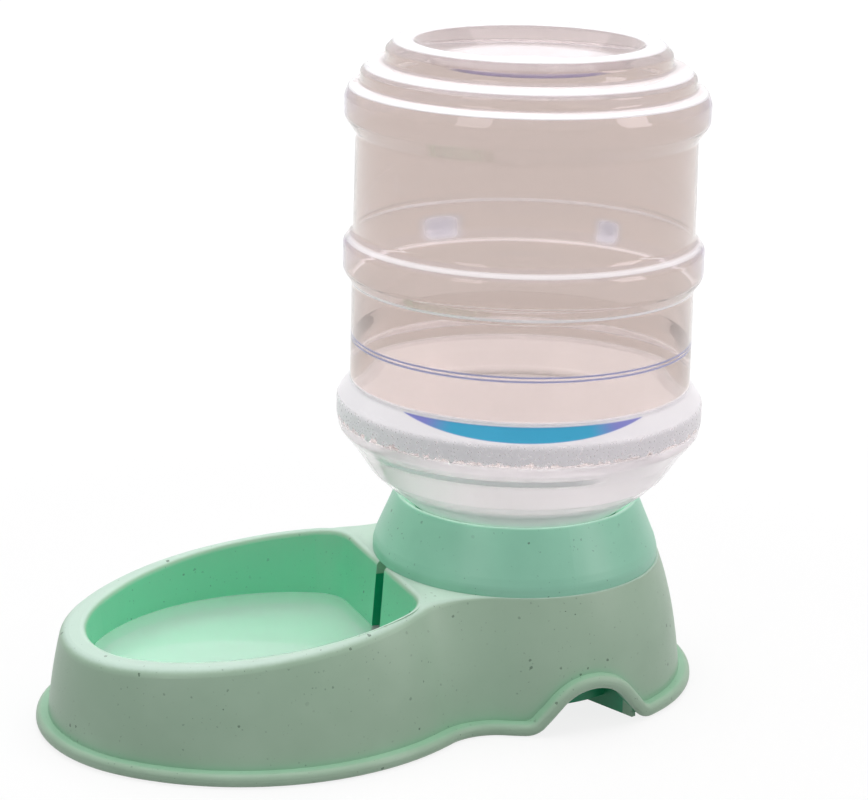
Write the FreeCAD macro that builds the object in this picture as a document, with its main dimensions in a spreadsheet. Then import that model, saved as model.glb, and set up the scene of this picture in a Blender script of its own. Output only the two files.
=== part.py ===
import FreeCAD, Part
import math
import os
import Sketcher

# Gravity pet water dispenser, in millimetres.
# Frame: +Z up, the bowl points toward -Y, the ground is Z = 0 and the part is centred on X = 0, Y = 0.

doc = FreeCAD.newDocument("dispenser")
sheet = doc.addObject("Spreadsheet::Sheet", "Sizes")

# Driving sizes: alias, value, note.
SIZES = [
    ("foot_end_radius", 75.5, "plan radius of the bowl end, over the foot bead"),
    ("foot_reach", 229.5, "bottle axis to the bowl end, over the foot bead"),
    ("foot_side_radius", 120.0, "plan radius of the bowl sides"),
    ("foot_half_width", 89.2, "half width over the foot bead"),
    ("foot_waist_radius", 26.0, "plan radius of the waist"),
    ("foot_rear_radius", 86.0, "bottle axis to the rear, over the foot bead"),
    ("foot_rear_shift", 4.5, "rear arc set back at the ground, which narrows the foot beside the arches"),
    ("skirt_in_ground", 5.2, "skirt set in from the bead at the ground"),
    ("skirt_in_low", 7.9, "skirt set in from the bead, lower section"),
    ("skirt_in_mid", 12.4, "skirt set in from the bead, middle section"),
    ("skirt_in_top", 19.8, "skirt set in from the bead, top section"),
    ("skirt_z_low", 22.0, "height of the lower section"),
    ("skirt_z_mid", 44.0, "height of the middle section"),
    ("skirt_z_top", 66.0, "height of the top section"),
    ("shell_wall", 2.6, "wall of the base moulding"),
    ("deck_z", 62.0, "top of the deck round the hood"),
    ("deck_knee", 66.0, "bottle axis to where the deck starts to fall"),
    ("deck_fall", 0.123, "fall of the rim toward the bowl end"),
    ("deck_knee_radius", 50.0, "rounding where the deck starts to fall"),
    ("rim_round_end", 5.1, "outer rounding of the rim at the bowl end"),
    ("rim_round", 4.6, "outer rounding of the rim at the waist"),
    ("rim_round_rear", 0.9, "outer rounding of the deck behind the hood"),
    ("lip_round", 2.8, "inner rounding of the bowl rim"),
    ("pan_in_top", 20.9, "bowl opening set in from the bead, top section"),
    ("pan_in_floor", 27.7, "bowl opening set in from the bead, floor"),
    ("pan_corner", 20.0, "plan radius of the bowl corners beside the hood"),
    ("pan_wall_reach", 67.4, "bottle axis to the bowl end wall, top section"),
    ("pan_wall_lean", 4.0, "lean of the bowl end wall down to the floor"),
    ("pan_floor_z", 9.0, "bowl floor"),
    ("pan_floor_round", 9.0, "rounding between bowl floor and wall"),
    ("well_radius", 60.0, "reservoir wall"),
    ("well_floor_radius", 57.5, "reservoir wall at the floor"),
    ("well_seat_radius", 63.7, "recess that takes the hood"),
    ("well_seat_depth", 6.0, "depth of that recess"),
    ("slot_width", 9.0, "slot between reservoir and bowl"),
    ("bead_height", 6.0, "foot bead"),
    ("bead_draft", 3.0, "bead set in at the top of the arch"),
    ("bead_ring", 9.6, "depth of the bead ring, plan"),
    ("bead_round", 2.5, "rounding of the bead"),
    ("arch_back", 6.0, "arch centre behind the bottle axis"),
    ("arch_half", 31.5, "half width of the arch at the ground"),
    ("arch_rise", 20.5, "height of the arch"),
    ("arch_foot_radius", 11.0, "arch radius at the feet"),
    ("arch_crown_radius", 19.5, "arch radius at the crown"),
    ("leg_rib_angle", 68.0, "angle of the ribs beside the arches from the rear"),
    ("leg_rib_front", 62.0, "angle of the front ribs from the bowl side"),
    ("leg_rib_wall", 2.2, "thickness of the ribs"),
    ("leg_rib_inner", 44.0, "inner end of the ribs from the axis"),
    ("leg_rib_clear", 0.8, "ribs above the ground"),
    ("post_radius", 4.0, "post that opens the valve"),
    ("post_top", 22.0, "top of the post"),
    ("post_vane", 9.0, "reach of the post vanes"),
    ("hood_radius", 66.8, "hood at the seam"),
    ("hood_band", 4.0, "upright band above the seam"),
    ("hood_knee_radius", 65.6, "hood radius where the cone starts"),
    ("hood_knee_z", 70.0, "height where the cone starts"),
    ("hood_lip_radius", 56.24, "hood radius at the top lip"),
    ("hood_wall", 2.6, "wall of the hood"),
    ("hood_seat_width", 9.0, "width of the bottle seat"),
    ("hood_fit", 0.15, "gap between hood spigot and base"),
    ("hood_mouth_round", 1.2, "rounding of the hood edges"),
    ("neck_radius", 23.4, "outside of the bottle neck"),
    ("neck_end_z", 42.6, "mouth of the bottle"),
    ("neck_root_z", 70.0, "neck meets the shoulder"),
    ("seat_slope", 0.93, "slope of the shoulder at the seat"),
    ("seat_lift", 0.04, "bottle shoulder above the hood seat"),
    ("bottle_wall", 1.2, "wall of the bottle"),
    ("shoulder_radius", 62.6, "crease low on the shoulder"),
    ("shoulder_z", 98.0, "height of that crease"),
    ("low_ring_radius", 84.4, "lowest ring"),
    ("low_ring_z", 133.0, "centre of the lowest ring"),
    ("mid_ring_radius", 82.3, "middle ring"),
    ("mid_ring_z", 204.0, "centre of the middle ring"),
    ("top_ring_radius", 82.3, "top ring"),
    ("top_ring_z", 272.5, "centre of the top ring"),
    ("body_radius", 77.9, "body of the bottle"),
    ("step_radius", 75.4, "second step"),
    ("step_z", 286.5, "height of the second step"),
    ("crown_radius", 64.4, "top step"),
    ("crown_z", 302.0, "top of the bottle"),
    ("punt_radius", 50.0, "recess in the top"),
    ("punt_depth", 7.0, "depth of that recess"),
    ("cap_wall", 3.0, "wall of the cap"),
    ("cap_top_z", 66.0, "open end of the cap"),
    ("cap_plate_z", 41.0, "inner face of the cap plate"),
    ("cap_plate", 3.0, "thickness of the cap plate"),
    ("cap_fit", 0.05, "gap between cap and neck"),
    ("cap_groove", 0.7, "depth of the grip grooves"),
    ("nozzle_bore", 8.0, "bore of the nozzle"),
    ("nozzle_wall", 2.4, "wall of the nozzle"),
    ("nozzle_end_z", 30.0, "mouth of the nozzle, sets the water level"),
    ("guide_radius", 4.4, "valve guide"),
    ("guide_top_z", 37.0, "top of the valve guide"),
    ("guide_height", 4.0, "height of the valve guide"),
    ("stem_radius", 2.4, "valve stem"),
    ("stem_fit", 0.08, "gap between stem and guide"),
    ("button_radius", 6.0, "button at the foot of the stem"),
    ("button_height", 2.4, "height of the button"),
    ("post_gap", 0.03, "gap between post and button"),
    ("disc_radius", 11.2, "valve disc"),
    ("disc_height", 2.2, "thickness of the valve disc"),
    ("seal_height", 1.6, "thickness of the seal"),
    ("seal_inner", 5.0, "hole of the seal"),
    ("valve_lift", 5.5, "opening of the valve when the bottle stands in the base"),
    ("gasket_height", 1.5, "thickness of the gasket"),
    ("spring_radius", 4.3, "mean radius of the spring"),
    ("spring_wire", 0.45, "radius of the spring wire"),
    ("spring_turns", 3, "turns by which the spring climbs"),
]

# Sizes that follow from the driving ones: alias, formula.
DERIVED = [
    ("axis_y", "(foot_reach - foot_rear_radius) / 2"),
    ("end_cy", "-(foot_reach - foot_end_radius)"),
    ("side_cx", "foot_half_width - foot_side_radius"),
    ("side_cy", "end_cy + sqrt((foot_side_radius - foot_end_radius)^2 - side_cx^2)"),
    ("waist_to_side", "foot_side_radius + foot_waist_radius"),
    ("end_ux", "-side_cx / (foot_side_radius - foot_end_radius)"),
    ("end_uy", "(end_cy - side_cy) / (foot_side_radius - foot_end_radius)"),
    ("knee_run", "deck_knee_radius * (sqrt(1 + deck_fall^2) - 1) / deck_fall"),
    ("knee_cos", "1 / sqrt(1 + deck_fall^2)"),
    ("arch_dx", "arch_half"),
    ("arch_dz", "arch_foot_radius - arch_rise + arch_crown_radius"),
    ("arch_far", "sqrt(arch_dx^2 + arch_dz^2)"),
    ("arch_sin", "(arch_foot_radius + arch_crown_radius) / arch_far"),
    ("arch_cos", "sqrt(1 - arch_sin^2)"),
    ("arch_nx", "(arch_dx * arch_sin - arch_dz * arch_cos) / arch_far"),
    ("arch_nz", "(arch_dz * arch_sin + arch_dx * arch_cos) / arch_far"),
    ("spigot_radius", "well_seat_radius - hood_fit"),
    ("seat_z", "deck_z - well_seat_depth"),
    ("plunger_z", "post_top + post_gap"),
    ("disc_z", "cap_plate_z + 1 + valve_lift + seal_height"),
    ("guide_z", "guide_top_z - guide_height"),
    ("hood_lip_z", "shoulder_z - seat_lift - seat_slope * (shoulder_radius - hood_lip_radius)"),
    ("seat_skin", "hood_wall * sqrt(1 + seat_slope^2)"),
    ("spigot_inner", "spigot_radius - hood_wall + 0.2"),
    ("hood_cone", "(hood_lip_z - hood_knee_z) / (hood_knee_radius - hood_lip_radius)"),
    ("cap_bore", "neck_radius + cap_fit"),
    ("cap_radius", "neck_radius + cap_fit + cap_wall"),
    ("nozzle_radius", "nozzle_bore + nozzle_wall"),
    ("cap_under_z", "cap_plate_z - cap_plate"),
    ("spring_low_z", "plunger_z + button_height"),
    ("spring_pitch", "(guide_z - spring_low_z - 2 * spring_wire - 0.1) / spring_turns"),
]

# The rear arc moves forward with height, so the waist that joins it to the bowl side has a place of its own
# at each of the skirt's sections.
LEVELS = ["0", "skirt_z_low", "skirt_z_mid", "skirt_z_top"]
for i, level in enumerate(LEVELS):
    DERIVED += [
        ("rear_cy%d_" % i, "foot_rear_shift * (1 - %s / skirt_z_top)" % level),
        ("rear_r%d_" % i, "foot_rear_radius - rear_cy%d_" % i),
        ("to_rear%d_" % i, "rear_r%d_ + foot_waist_radius" % i),
        ("far%d_" % i, "sqrt(side_cx^2 + (side_cy - rear_cy%d_)^2)" % i),
        ("along%d_" % i, "(to_rear%d_^2 - waist_to_side^2 + far%d_^2) / (2 * far%d_)" % (i, i, i)),
        ("across%d_" % i, "sqrt(to_rear%d_^2 - along%d_^2)" % (i, i)),
        ("waist_cx%d_" % i, "(along%d_ * side_cx - across%d_ * (side_cy - rear_cy%d_)) / far%d_" % (i, i, i, i)),
        ("waist_cy%d_" % i,
         "rear_cy%d_ + (along%d_ * (side_cy - rear_cy%d_) + across%d_ * side_cx) / far%d_" % (i, i, i, i, i)),
        ("waist_ux%d_" % i, "(waist_cx%d_ - side_cx) / waist_to_side" % i),
        ("waist_uy%d_" % i, "(waist_cy%d_ - side_cy) / waist_to_side" % i),
        ("rear_ux%d_" % i, "waist_cx%d_ / to_rear%d_" % (i, i)),
        ("rear_uy%d_" % i, "(waist_cy%d_ - rear_cy%d_) / to_rear%d_" % (i, i, i)),
    ]

sheet.set("A1", "size")
sheet.set("B1", "value")
sheet.set("C1", "note")
row = 2
for alias, value, note in SIZES:
    sheet.set("A%d" % row, alias)
    sheet.set("B%d" % row, str(value))
    sheet.set("C%d" % row, note)
    sheet.setAlias("B%d" % row, alias)
    row += 1
for alias, formula in DERIVED:
    sheet.set("A%d" % row, alias)
    sheet.set("B%d" % row, "=" + formula)
    sheet.setAlias("B%d" % row, alias)
    row += 1
doc.recompute()


def val(alias):
    """Value of one size, in millimetres."""
    return float(sheet.get(alias))


def ex(text):
    """Puts the sheet's name before every alias in a formula."""
    out = ""
    word = ""
    for ch in text + " ":
        if ch.isalnum() or ch == "_":
            word += ch
            continue
        if word and word[0].isalpha() and word not in ("sqrt", "cos", "sin", "atan"):
            out += "Sizes."
        out += word + ch
        word = ""
    return out.strip()


def num(text):
    """Works a formula out with the present sizes, for the first drawing of a sketch."""
    return float(sheet.evalExpression(text))


PLANES = {
    "XY": FreeCAD.Rotation(),
    "YZ": FreeCAD.Rotation(FreeCAD.Vector(1, 1, 1), 120),
}


def new_sketch(name, plane="XY", height=None):
    """Sketch in the model frame; the height comes from the sheet."""
    sk = doc.addObject("Sketcher::SketchObject", name)
    sk.Placement = FreeCAD.Placement(FreeCAD.Vector(0, 0, 0), PLANES[plane])
    if height:
        sk.Placement = FreeCAD.Placement(FreeCAD.Vector(0, 0, num(height)), PLANES[plane])
        sk.setExpression("Placement.Base.z", ex(height))
    return sk


def draw(sk, points, arcs):
    """Closed loop. points: (x formula, y formula); arcs: None or (centre x, centre y, radius, ccw)."""
    n = len(points)
    xy = [(num(px), num(py)) for px, py in points]
    for i in range(n):
        x0, y0 = xy[i]
        x1, y1 = xy[(i + 1) % n]
        if arcs[i] is None:
            sk.addGeometry(Part.LineSegment(FreeCAD.Vector(x0, y0, 0), FreeCAD.Vector(x1, y1, 0)), False)
            continue
        cx, cy, radius, ccw = arcs[i]
        vx, vy, vr = num(cx), num(cy), num(radius)
        a0 = math.atan2(y0 - vy, x0 - vx)
        a1 = math.atan2(y1 - vy, x1 - vx)
        if not ccw:
            a0, a1 = a1, a0
        if a1 < a0:
            a1 += 2 * math.pi
        circle = Part.Circle(FreeCAD.Vector(vx, vy, 0), FreeCAD.Vector(0, 0, 1), vr)
        sk.addGeometry(Part.ArcOfCircle(circle, a0, a1), False)
    for i in range(n):
        arc = arcs[i]
        nxt = arcs[(i + 1) % n]
        end = 2 if arc is None or arc[3] else 1
        start = 1 if nxt is None or nxt[3] else 2
        sk.addConstraint(Sketcher.Constraint("Coincident", i, end, (i + 1) % n, start))
    for i in range(n):
        arc = arcs[i]
        start = 1 if arc is None or arc[3] else 2
        for kind, formula, value in (("DistanceX", points[i][0], xy[i][0]), ("DistanceY", points[i][1], xy[i][1])):
            k = sk.addConstraint(Sketcher.Constraint(kind, -1, 1, i, start, value))
            label = "%s%d" % (kind[-1].lower(), i)
            sk.renameConstraint(k, label)
            sk.setExpression("Constraints." + label, ex(formula))
        if arc is not None:
            k = sk.addConstraint(Sketcher.Constraint("Radius", i, num(arc[2])))
            label = "r%d" % i
            sk.renameConstraint(k, label)
            sk.setExpression("Constraints." + label, ex(arc[2]))
    return sk


def outline(name, height, inset, level):
    """Plan outline of the base, set in from the foot bead by one formula, at one of the LEVELS."""
    sk = new_sketch(name, "XY", height)
    end_r = "(foot_end_radius - (%s))" % inset
    side_r = "(foot_side_radius - (%s))" % inset
    waist_r = "(foot_waist_radius + (%s))" % inset
    rear_r = "(rear_r%d_ - (%s))" % (level, inset)
    p1 = ("side_cx + %s * end_ux" % side_r, "axis_y + side_cy + %s * end_uy" % side_r)
    p2 = ("side_cx + %s * waist_ux%d_" % (side_r, level), "axis_y + side_cy + %s * waist_uy%d_" % (side_r, level))
    p3 = ("%s * rear_ux%d_" % (rear_r, level), "axis_y + rear_cy%d_ + %s * rear_uy%d_" % (level, rear_r, level))
    points = [p1, p2, p3]
    for px, py in (p3, p2, p1):
        points.append(("-(%s)" % px, py))
    arcs = [
        ("side_cx", "axis_y + side_cy", side_r, True),
        ("waist_cx%d_" % level, "axis_y + waist_cy%d_" % level, waist_r, False),
        ("0", "axis_y + rear_cy%d_" % level, rear_r, True),
        ("-waist_cx%d_" % level, "axis_y + waist_cy%d_" % level, waist_r, False),
        ("-side_cx", "axis_y + side_cy", side_r, True),
        ("0", "axis_y + end_cy", end_r, True),
    ]
    return draw(sk, points, arcs)


def opening(name, height, inset, wall_reach, corner):
    """Plan outline of the bowl: end arc, two sides, two corners and the wall beside the hood."""
    sk = new_sketch(name, "XY", height)
    end_r = "(foot_end_radius - (%s))" % inset
    side_r = "(foot_side_radius - (%s))" % inset
    corner_y = "(-(%s) - (%s))" % (wall_reach, corner)
    run = "(%s - (%s))" % (side_r, corner)
    corner_x = "(side_cx + sqrt(%s^2 - (%s - side_cy)^2))" % (run, corner_y)
    ux = "((%s - side_cx) / %s)" % (corner_x, run)
    uy = "((%s - side_cy) / %s)" % (corner_y, run)
    p1 = ("side_cx + %s * end_ux" % side_r, "axis_y + side_cy + %s * end_uy" % side_r)
    p2 = ("side_cx + %s * %s" % (side_r, ux), "axis_y + side_cy + %s * %s" % (side_r, uy))
    p3 = (corner_x, "axis_y - (%s)" % wall_reach)
    points = [p1, p2, p3]
    for px, py in (p3, p2, p1):
        points.append(("-(%s)" % px, py))
    arcs = [
        ("side_cx", "axis_y + side_cy", side_r, True),
        (corner_x, "axis_y + %s" % corner_y, "(%s)" % corner, True),
        None,
        ("-(%s)" % corner_x, "axis_y + %s" % corner_y, "(%s)" % corner, True),
        ("-side_cx", "axis_y + side_cy", side_r, True),
        ("0", "axis_y + end_cy", end_r, True),
    ]
    return draw(sk, points, arcs)


def top_profile(name, drop):
    """Side view of everything above the deck and the falling rim."""
    sk = new_sketch(name, "YZ")
    z = "(deck_z - (%s))" % drop
    knee = "(axis_y - deck_knee)"
    far = "(axis_y - foot_reach - 20)"
    points = [
        ("axis_y + foot_rear_radius + 20", z),
        ("axis_y + foot_rear_radius + 20", "deck_z + 40"),
        (far, "deck_z + 40"),
        (far, "%s - deck_fall * (%s - %s)" % (z, knee, far)),
        ("%s - knee_run * knee_cos" % knee, "%s - knee_run * knee_cos * deck_fall" % z),
        ("%s + knee_run" % knee, z),
    ]
    arcs = [None, None, None, None,
            ("%s + knee_run" % knee, "%s - deck_knee_radius" % z, "deck_knee_radius", False), None]
    return draw(sk, points, arcs)


def arch_profile(name, lift):
    """Side view of everything below the line of the foot with its arch, raised by lift."""
    sk = new_sketch(name, "YZ")
    mid = "(axis_y + arch_back)"
    foot_r = "(arch_foot_radius - (%s))" % lift
    crown_r = "(arch_crown_radius + (%s))" % lift
    crown_cz = "(arch_rise - arch_crown_radius)"
    far_y = "(axis_y + foot_rear_radius + 20)"
    near_y = "(axis_y - foot_reach - 20)"
    points = [
        (near_y, "-20"),
        (far_y, "-20"),
        (far_y, "0 + (%s)" % lift),
        ("%s + arch_half" % mid, "0 + (%s)" % lift),
        ("%s + arch_half - %s * arch_nx" % (mid, foot_r), "arch_foot_radius - %s * arch_nz" % foot_r),
        ("%s + %s * arch_nx" % (mid, crown_r), "%s + %s * arch_nz" % (crown_cz, crown_r)),
        ("%s - %s * arch_nx" % (mid, crown_r), "%s + %s * arch_nz" % (crown_cz, crown_r)),
        ("%s - arch_half + %s * arch_nx" % (mid, foot_r), "arch_foot_radius - %s * arch_nz" % foot_r),
        ("%s - arch_half" % mid, "0 + (%s)" % lift),
        (near_y, "0 + (%s)" % lift),
    ]
    arcs = [None, None, None,
            ("%s + arch_half" % mid, "arch_foot_radius", foot_r, False),
            None,
            (mid, crown_cz, crown_r, True),
            None,
            ("%s - arch_half" % mid, "arch_foot_radius", foot_r, False),
            None, None]
    return draw(sk, points, arcs)


def loft(name, sketches, ruled=False):
    ob = doc.addObject("Part::Loft", name)
    ob.Sections = sketches
    ob.Solid = True
    ob.Ruled = ruled
    return ob


def across(name, sk, half="foot_half_width + 30"):
    """Side-view sketch run through the whole width."""
    ob = doc.addObject("Part::Extrusion", name)
    ob.Base = sk
    ob.DirMode = "Normal"
    ob.Solid = True
    ob.setExpression("LengthFwd", ex(half))
    ob.setExpression("LengthRev", ex(half))
    return ob


def cut(name, base, tool):
    ob = doc.addObject("Part::Cut", name)
    ob.Base = base
    ob.Tool = tool
    return ob


def common(name, base, tool):
    ob = doc.addObject("Part::Common", name)
    ob.Base = base
    ob.Tool = tool
    return ob


def fuse(name, shapes):
    ob = doc.addObject("Part::MultiFuse", name)
    ob.Shapes = shapes
    return ob


def rounded(name, base, edges):
    """edges: list of (number, first radius, second radius)."""
    ob = doc.addObject("Part::Fillet", name)
    ob.Base = base
    ob.Edges = edges
    return ob


def cylinder(name, radius, height, z, on_axis=True):
    ob = doc.addObject("Part::Cylinder", name)
    ob.setExpression("Radius", ex(radius))
    ob.setExpression("Height", ex(height))
    ob.setExpression("Placement.Base.z", ex(z))
    if on_axis:
        ob.setExpression("Placement.Base.y", ex("axis_y"))
    return ob


def cone(name, r_low, r_high, height, z):
    ob = doc.addObject("Part::Cone", name)
    ob.setExpression("Radius1", ex(r_low))
    ob.setExpression("Radius2", ex(r_high))
    ob.setExpression("Height", ex(height))
    ob.setExpression("Placement.Base.z", ex(z))
    ob.setExpression("Placement.Base.y", ex("axis_y"))
    return ob


def box(name, length, width, height, x, y, z):
    ob = doc.addObject("Part::Box", name)
    ob.setExpression("Length", ex(length))
    ob.setExpression("Width", ex(width))
    ob.setExpression("Height", ex(height))
    ob.setExpression("Placement.Base.x", ex(x))
    ob.setExpression("Placement.Base.y", ex(y))
    ob.setExpression("Placement.Base.z", ex(z))
    return ob


def edges_where(shape, test):
    """Numbers of the edges whose middle point passes the test."""
    found = []
    for i, edge in enumerate(shape.Edges):
        first, last = edge.ParameterRange
        if test(edge.valueAt((first + last) / 2.0), edge):
            found.append(i + 1)
    return found


def top_at(y):
    """Height of the deck and rim at one place along the part."""
    knee = val("axis_y") - val("deck_knee")
    if y >= knee:
        return val("deck_z")
    return val("deck_z") - val("deck_fall") * (knee - y)


# Outside of the base: a flared skirt whose top falls toward the bowl end.
OUTER = [("0", "skirt_in_ground"), ("skirt_z_low", "skirt_in_low"),
         ("skirt_z_mid", "skirt_in_mid"), ("skirt_z_top", "skirt_in_top")]
outer_sections = []
inner_sections = []
for i, (z, inset) in enumerate(OUTER):
    outer_sections.append(outline("OuterSection%d" % i, "%s - 0" % z, inset, i))
    low = "%s - 1" % z if i == 0 else "%s - 0" % z
    inner_sections.append(outline("InnerSection%d" % i, low, inset + " + shell_wall", i))
skirt_solid = loft("SkirtSolid", outer_sections)
top_cutter = across("TopCutter", top_profile("TopProfile", "0"))
crown = cut("Crown", skirt_solid, top_cutter)
doc.recompute()

def on_top(point, edge):
    return abs(point.z - top_at(point.y)) < 1.0


def rim_radius(y):
    """Rounding of the rim: large round the bowl, less at the waist, small behind the hood."""
    far_end = val("axis_y") + val("side_cy") + val("foot_side_radius") * val("end_uy")
    waist = val("axis_y") + val("side_cy") + (val("foot_side_radius") - 17) * val("waist_uy3_")
    rear = val("axis_y") + val("foot_rear_radius") * val("rear_uy3_") - 17 * val("rear_uy3_")
    stops = [(far_end + 2, val("rim_round_end")), (waist, val("rim_round")), (rear - 2, val("rim_round_rear"))]
    if y <= stops[0][0]:
        return stops[0][1]
    for (y0, r0), (y1, r1) in zip(stops, stops[1:]):
        if y < y1:
            return r0 + (r1 - r0) * (y - y0) / (y1 - y0)
    return stops[-1][1]


rim = []
for k in edges_where(crown.Shape, on_top):
    edge = crown.Shape.Edges[k - 1]
    first, last = edge.ParameterRange
    rim.append((k, rim_radius(edge.valueAt(first).y), rim_radius(edge.valueAt(last).y)))
print("rim edges", [(k, round(a, 2), round(b, 2)) for k, a, b in rim])
crown_round = rounded("CrownRound", crown, rim)
doc.recompute()
print("crown round", crown_round.State, crown_round.Shape.isNull() or crown_round.Shape.isValid())

# Hollow under the moulding.
inner_solid = loft("InnerSolid", inner_sections)
under_cutter = across("UnderCutter", top_profile("UnderProfile", "shell_wall"))
hollow = cut("Hollow", inner_solid, under_cutter)
arch_low = across("ArchOpening", arch_profile("ArchProfile", "0"))
shell_closed = cut("ShellClosed", crown_round, hollow)
shell = cut("Shell", shell_closed, arch_low)

# Drinking bowl: a void with a rounded floor, and the same one wall larger round it.
void_top = opening("BowlVoidTop", "skirt_z_top - 0", "pan_in_top", "pan_wall_reach", "pan_corner")
void_floor = opening("BowlVoidFloor", "pan_floor_z - 0", "pan_in_floor",
                     "pan_wall_reach + pan_wall_lean", "pan_corner - 4")
bowl_void_sharp = loft("BowlVoidSharp", [void_floor, void_top], True)
skin_top = opening("BowlSkinTop", "skirt_z_top - 0", "pan_in_top - shell_wall",
                   "pan_wall_reach - shell_wall", "pan_corner + shell_wall")
skin_floor = opening("BowlSkinFloor", "pan_floor_z - shell_wall", "pan_in_floor - shell_wall",
                     "pan_wall_reach + pan_wall_lean - shell_wall", "pan_corner - 4 + shell_wall")
bowl_skin_sharp = loft("BowlSkinSharp", [skin_floor, skin_top], True)
doc.recompute()


def flat_at(z):
    def test(point, edge):
        zs = [v.Point.z for v in edge.Vertexes]
        return abs(point.z - z) < 0.01 and abs(max(zs) - z) < 0.01 and abs(min(zs) - z) < 0.01
    return test


floor_z = val("pan_floor_z")
wall = val("shell_wall")
floor_round = val("pan_floor_round")
void_edges = [(k, floor_round, floor_round) for k in edges_where(bowl_void_sharp.Shape, flat_at(floor_z))]
skin_edges = [(k, floor_round + 1, floor_round + 1) for k in edges_where(bowl_skin_sharp.Shape, flat_at(floor_z - wall))]
bowl_void = rounded("BowlVoid", bowl_void_sharp, void_edges)
bowl_skin = rounded("BowlSkin", bowl_skin_sharp, skin_edges)
bowl_pan = cut("BowlPan", bowl_skin, top_cutter)

# Round reservoir with a recess for the hood.
well_cone = cone("WellCone", "well_floor_radius", "well_radius", "seat_z - pan_floor_z", "pan_floor_z - 0")
well_seat = cylinder("WellSeat", "well_seat_radius", "well_seat_depth + 10", "seat_z - 0")
well_void = fuse("WellVoid", [well_cone, well_seat])
well_skin_cone = cone("WellSkinCone", "well_floor_radius + shell_wall", "well_radius + shell_wall",
                      "seat_z - shell_wall - (pan_floor_z - shell_wall)", "pan_floor_z - shell_wall")
well_skin_seat = cylinder("WellSkinSeat", "well_seat_radius + shell_wall - 0.4", "well_seat_depth + shell_wall",
                          "seat_z - shell_wall")
well_pan = fuse("WellPan", [well_skin_cone, well_skin_seat])

# Slot between the two, with its own walls.
slot_block = box("SlotBlock", "slot_width + 2 * shell_wall", "26", "deck_z - pan_floor_z + shell_wall - 0.5",
                 "-slot_width / 2 - shell_wall", "axis_y - pan_wall_reach - 9", "pan_floor_z - shell_wall")
slot_void = box("SlotVoid", "slot_width - 0", "30", "deck_z + 20", "-slot_width / 2",
                "axis_y - pan_wall_reach - 16", "pan_floor_z - 0")

# Ribs beside the arches, inside the skirt.
ribs = []
for i, (angle, side) in enumerate((("leg_rib_angle", 1), ("leg_rib_angle", -1),
                                   ("180 - leg_rib_front", 1), ("180 - leg_rib_front", -1))):
    rib = doc.addObject("Part::Box", "LegRib%d" % i)
    rib.setExpression("Length", ex("leg_rib_wall - 0"))
    rib.setExpression("Width", ex("foot_rear_radius - leg_rib_inner"))
    rib.setExpression("Height", ex("skirt_z_mid - 6"))
    turn = "-(%s)" % angle if side > 0 else "(%s)" % angle
    rib.Placement = FreeCAD.Placement(FreeCAD.Vector(0, 0, 0), FreeCAD.Rotation(FreeCAD.Vector(0, 0, 1), 0))
    rib.setExpression("Placement.Rotation.Angle", ex("(%s) * 1 deg" % turn).replace("Sizes.deg", "deg"))
    sx = "%d * sin((%s) * 1 deg)" % (side, angle)
    cx = "cos((%s) * 1 deg)" % angle
    rib.setExpression("Placement.Base.x", ex(
        "(leg_rib_inner * (%s)) - leg_rib_wall / 2 * (%s)" % (sx, cx)).replace("Sizes.deg", "deg"))
    rib.setExpression("Placement.Base.y", ex(
        "axis_y + leg_rib_inner * (%s) + leg_rib_wall / 2 * (%s)" % (cx, sx)).replace("Sizes.deg", "deg"))
    rib.setExpression("Placement.Base.z", ex("leg_rib_clear - 0"))
    ribs.append(rib)
rib_set = fuse("LegRibs", ribs)
rib_inside = common("LegRibsInside", rib_set, crown)

# Foot bead: a ring that leans like the skirt and follows the arch.
bead_out_low = outline("BeadOuterLow", "0 - 0", "0", 0)
bead_out_high = outline("BeadOuterHigh", "skirt_z_mid - 0", "bead_draft * skirt_z_mid / 27", 2)
bead_outer = loft("BeadOuter", [bead_out_low, bead_out_high], True)
bead_in_low = outline("BeadInnerLow", "0 - 1", "bead_ring - 0", 0)
bead_in_high = outline("BeadInnerHigh", "skirt_z_mid + 1", "bead_ring + bead_draft * skirt_z_mid / 27", 2)
bead_inner = loft("BeadInner", [bead_in_low, bead_in_high], True)
bead_ring = cut("BeadRing", bead_outer, bead_inner)
arch_high = across("BeadBelow", arch_profile("BeadProfile", "bead_height - 0"))
bead_strip = common("BeadStrip", bead_ring, arch_high)
bead_sharp = cut("BeadSharp", bead_strip, arch_low)
doc.recompute()
for ob in (shell, bowl_void, bowl_skin, bowl_pan, well_pan, rib_inside, bead_sharp):
    print(ob.Name, ob.State, ob.Shape.isValid(), round(ob.Shape.Volume), len(ob.Shape.Solids))


side_faces = []
for face in bead_outer.Shape.Faces:
    if face.BoundBox.ZLength > 5:
        side_faces.append(face)


def near_faces(point, faces):
    return min(face.distToShape(Part.Vertex(point))[0] for face in faces)


def rim_of(shape, faces, gap=0.01):
    """Edges that lie on the given faces but are not seams between two of them."""
    found = []
    for k in edges_where(shape, lambda point, edge: near_faces(point, faces) < gap):
        edge = shape.Edges[k - 1]
        inside = 0
        for face in shape.Faces:
            if not any(e.isSame(edge) for e in face.Edges):
                continue
            u0, u1, v0, v1 = face.ParameterRange
            if near_faces(face.valueAt((u0 + u1) / 2.0, (v0 + v1) / 2.0), faces) < gap:
                inside += 1
        if inside < 2:
            found.append(k)
    return found


bead_round = val("bead_round")
bead = rounded("Bead", bead_sharp, [(k, bead_round, bead_round) for k in rim_of(bead_sharp.Shape, side_faces)])

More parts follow.
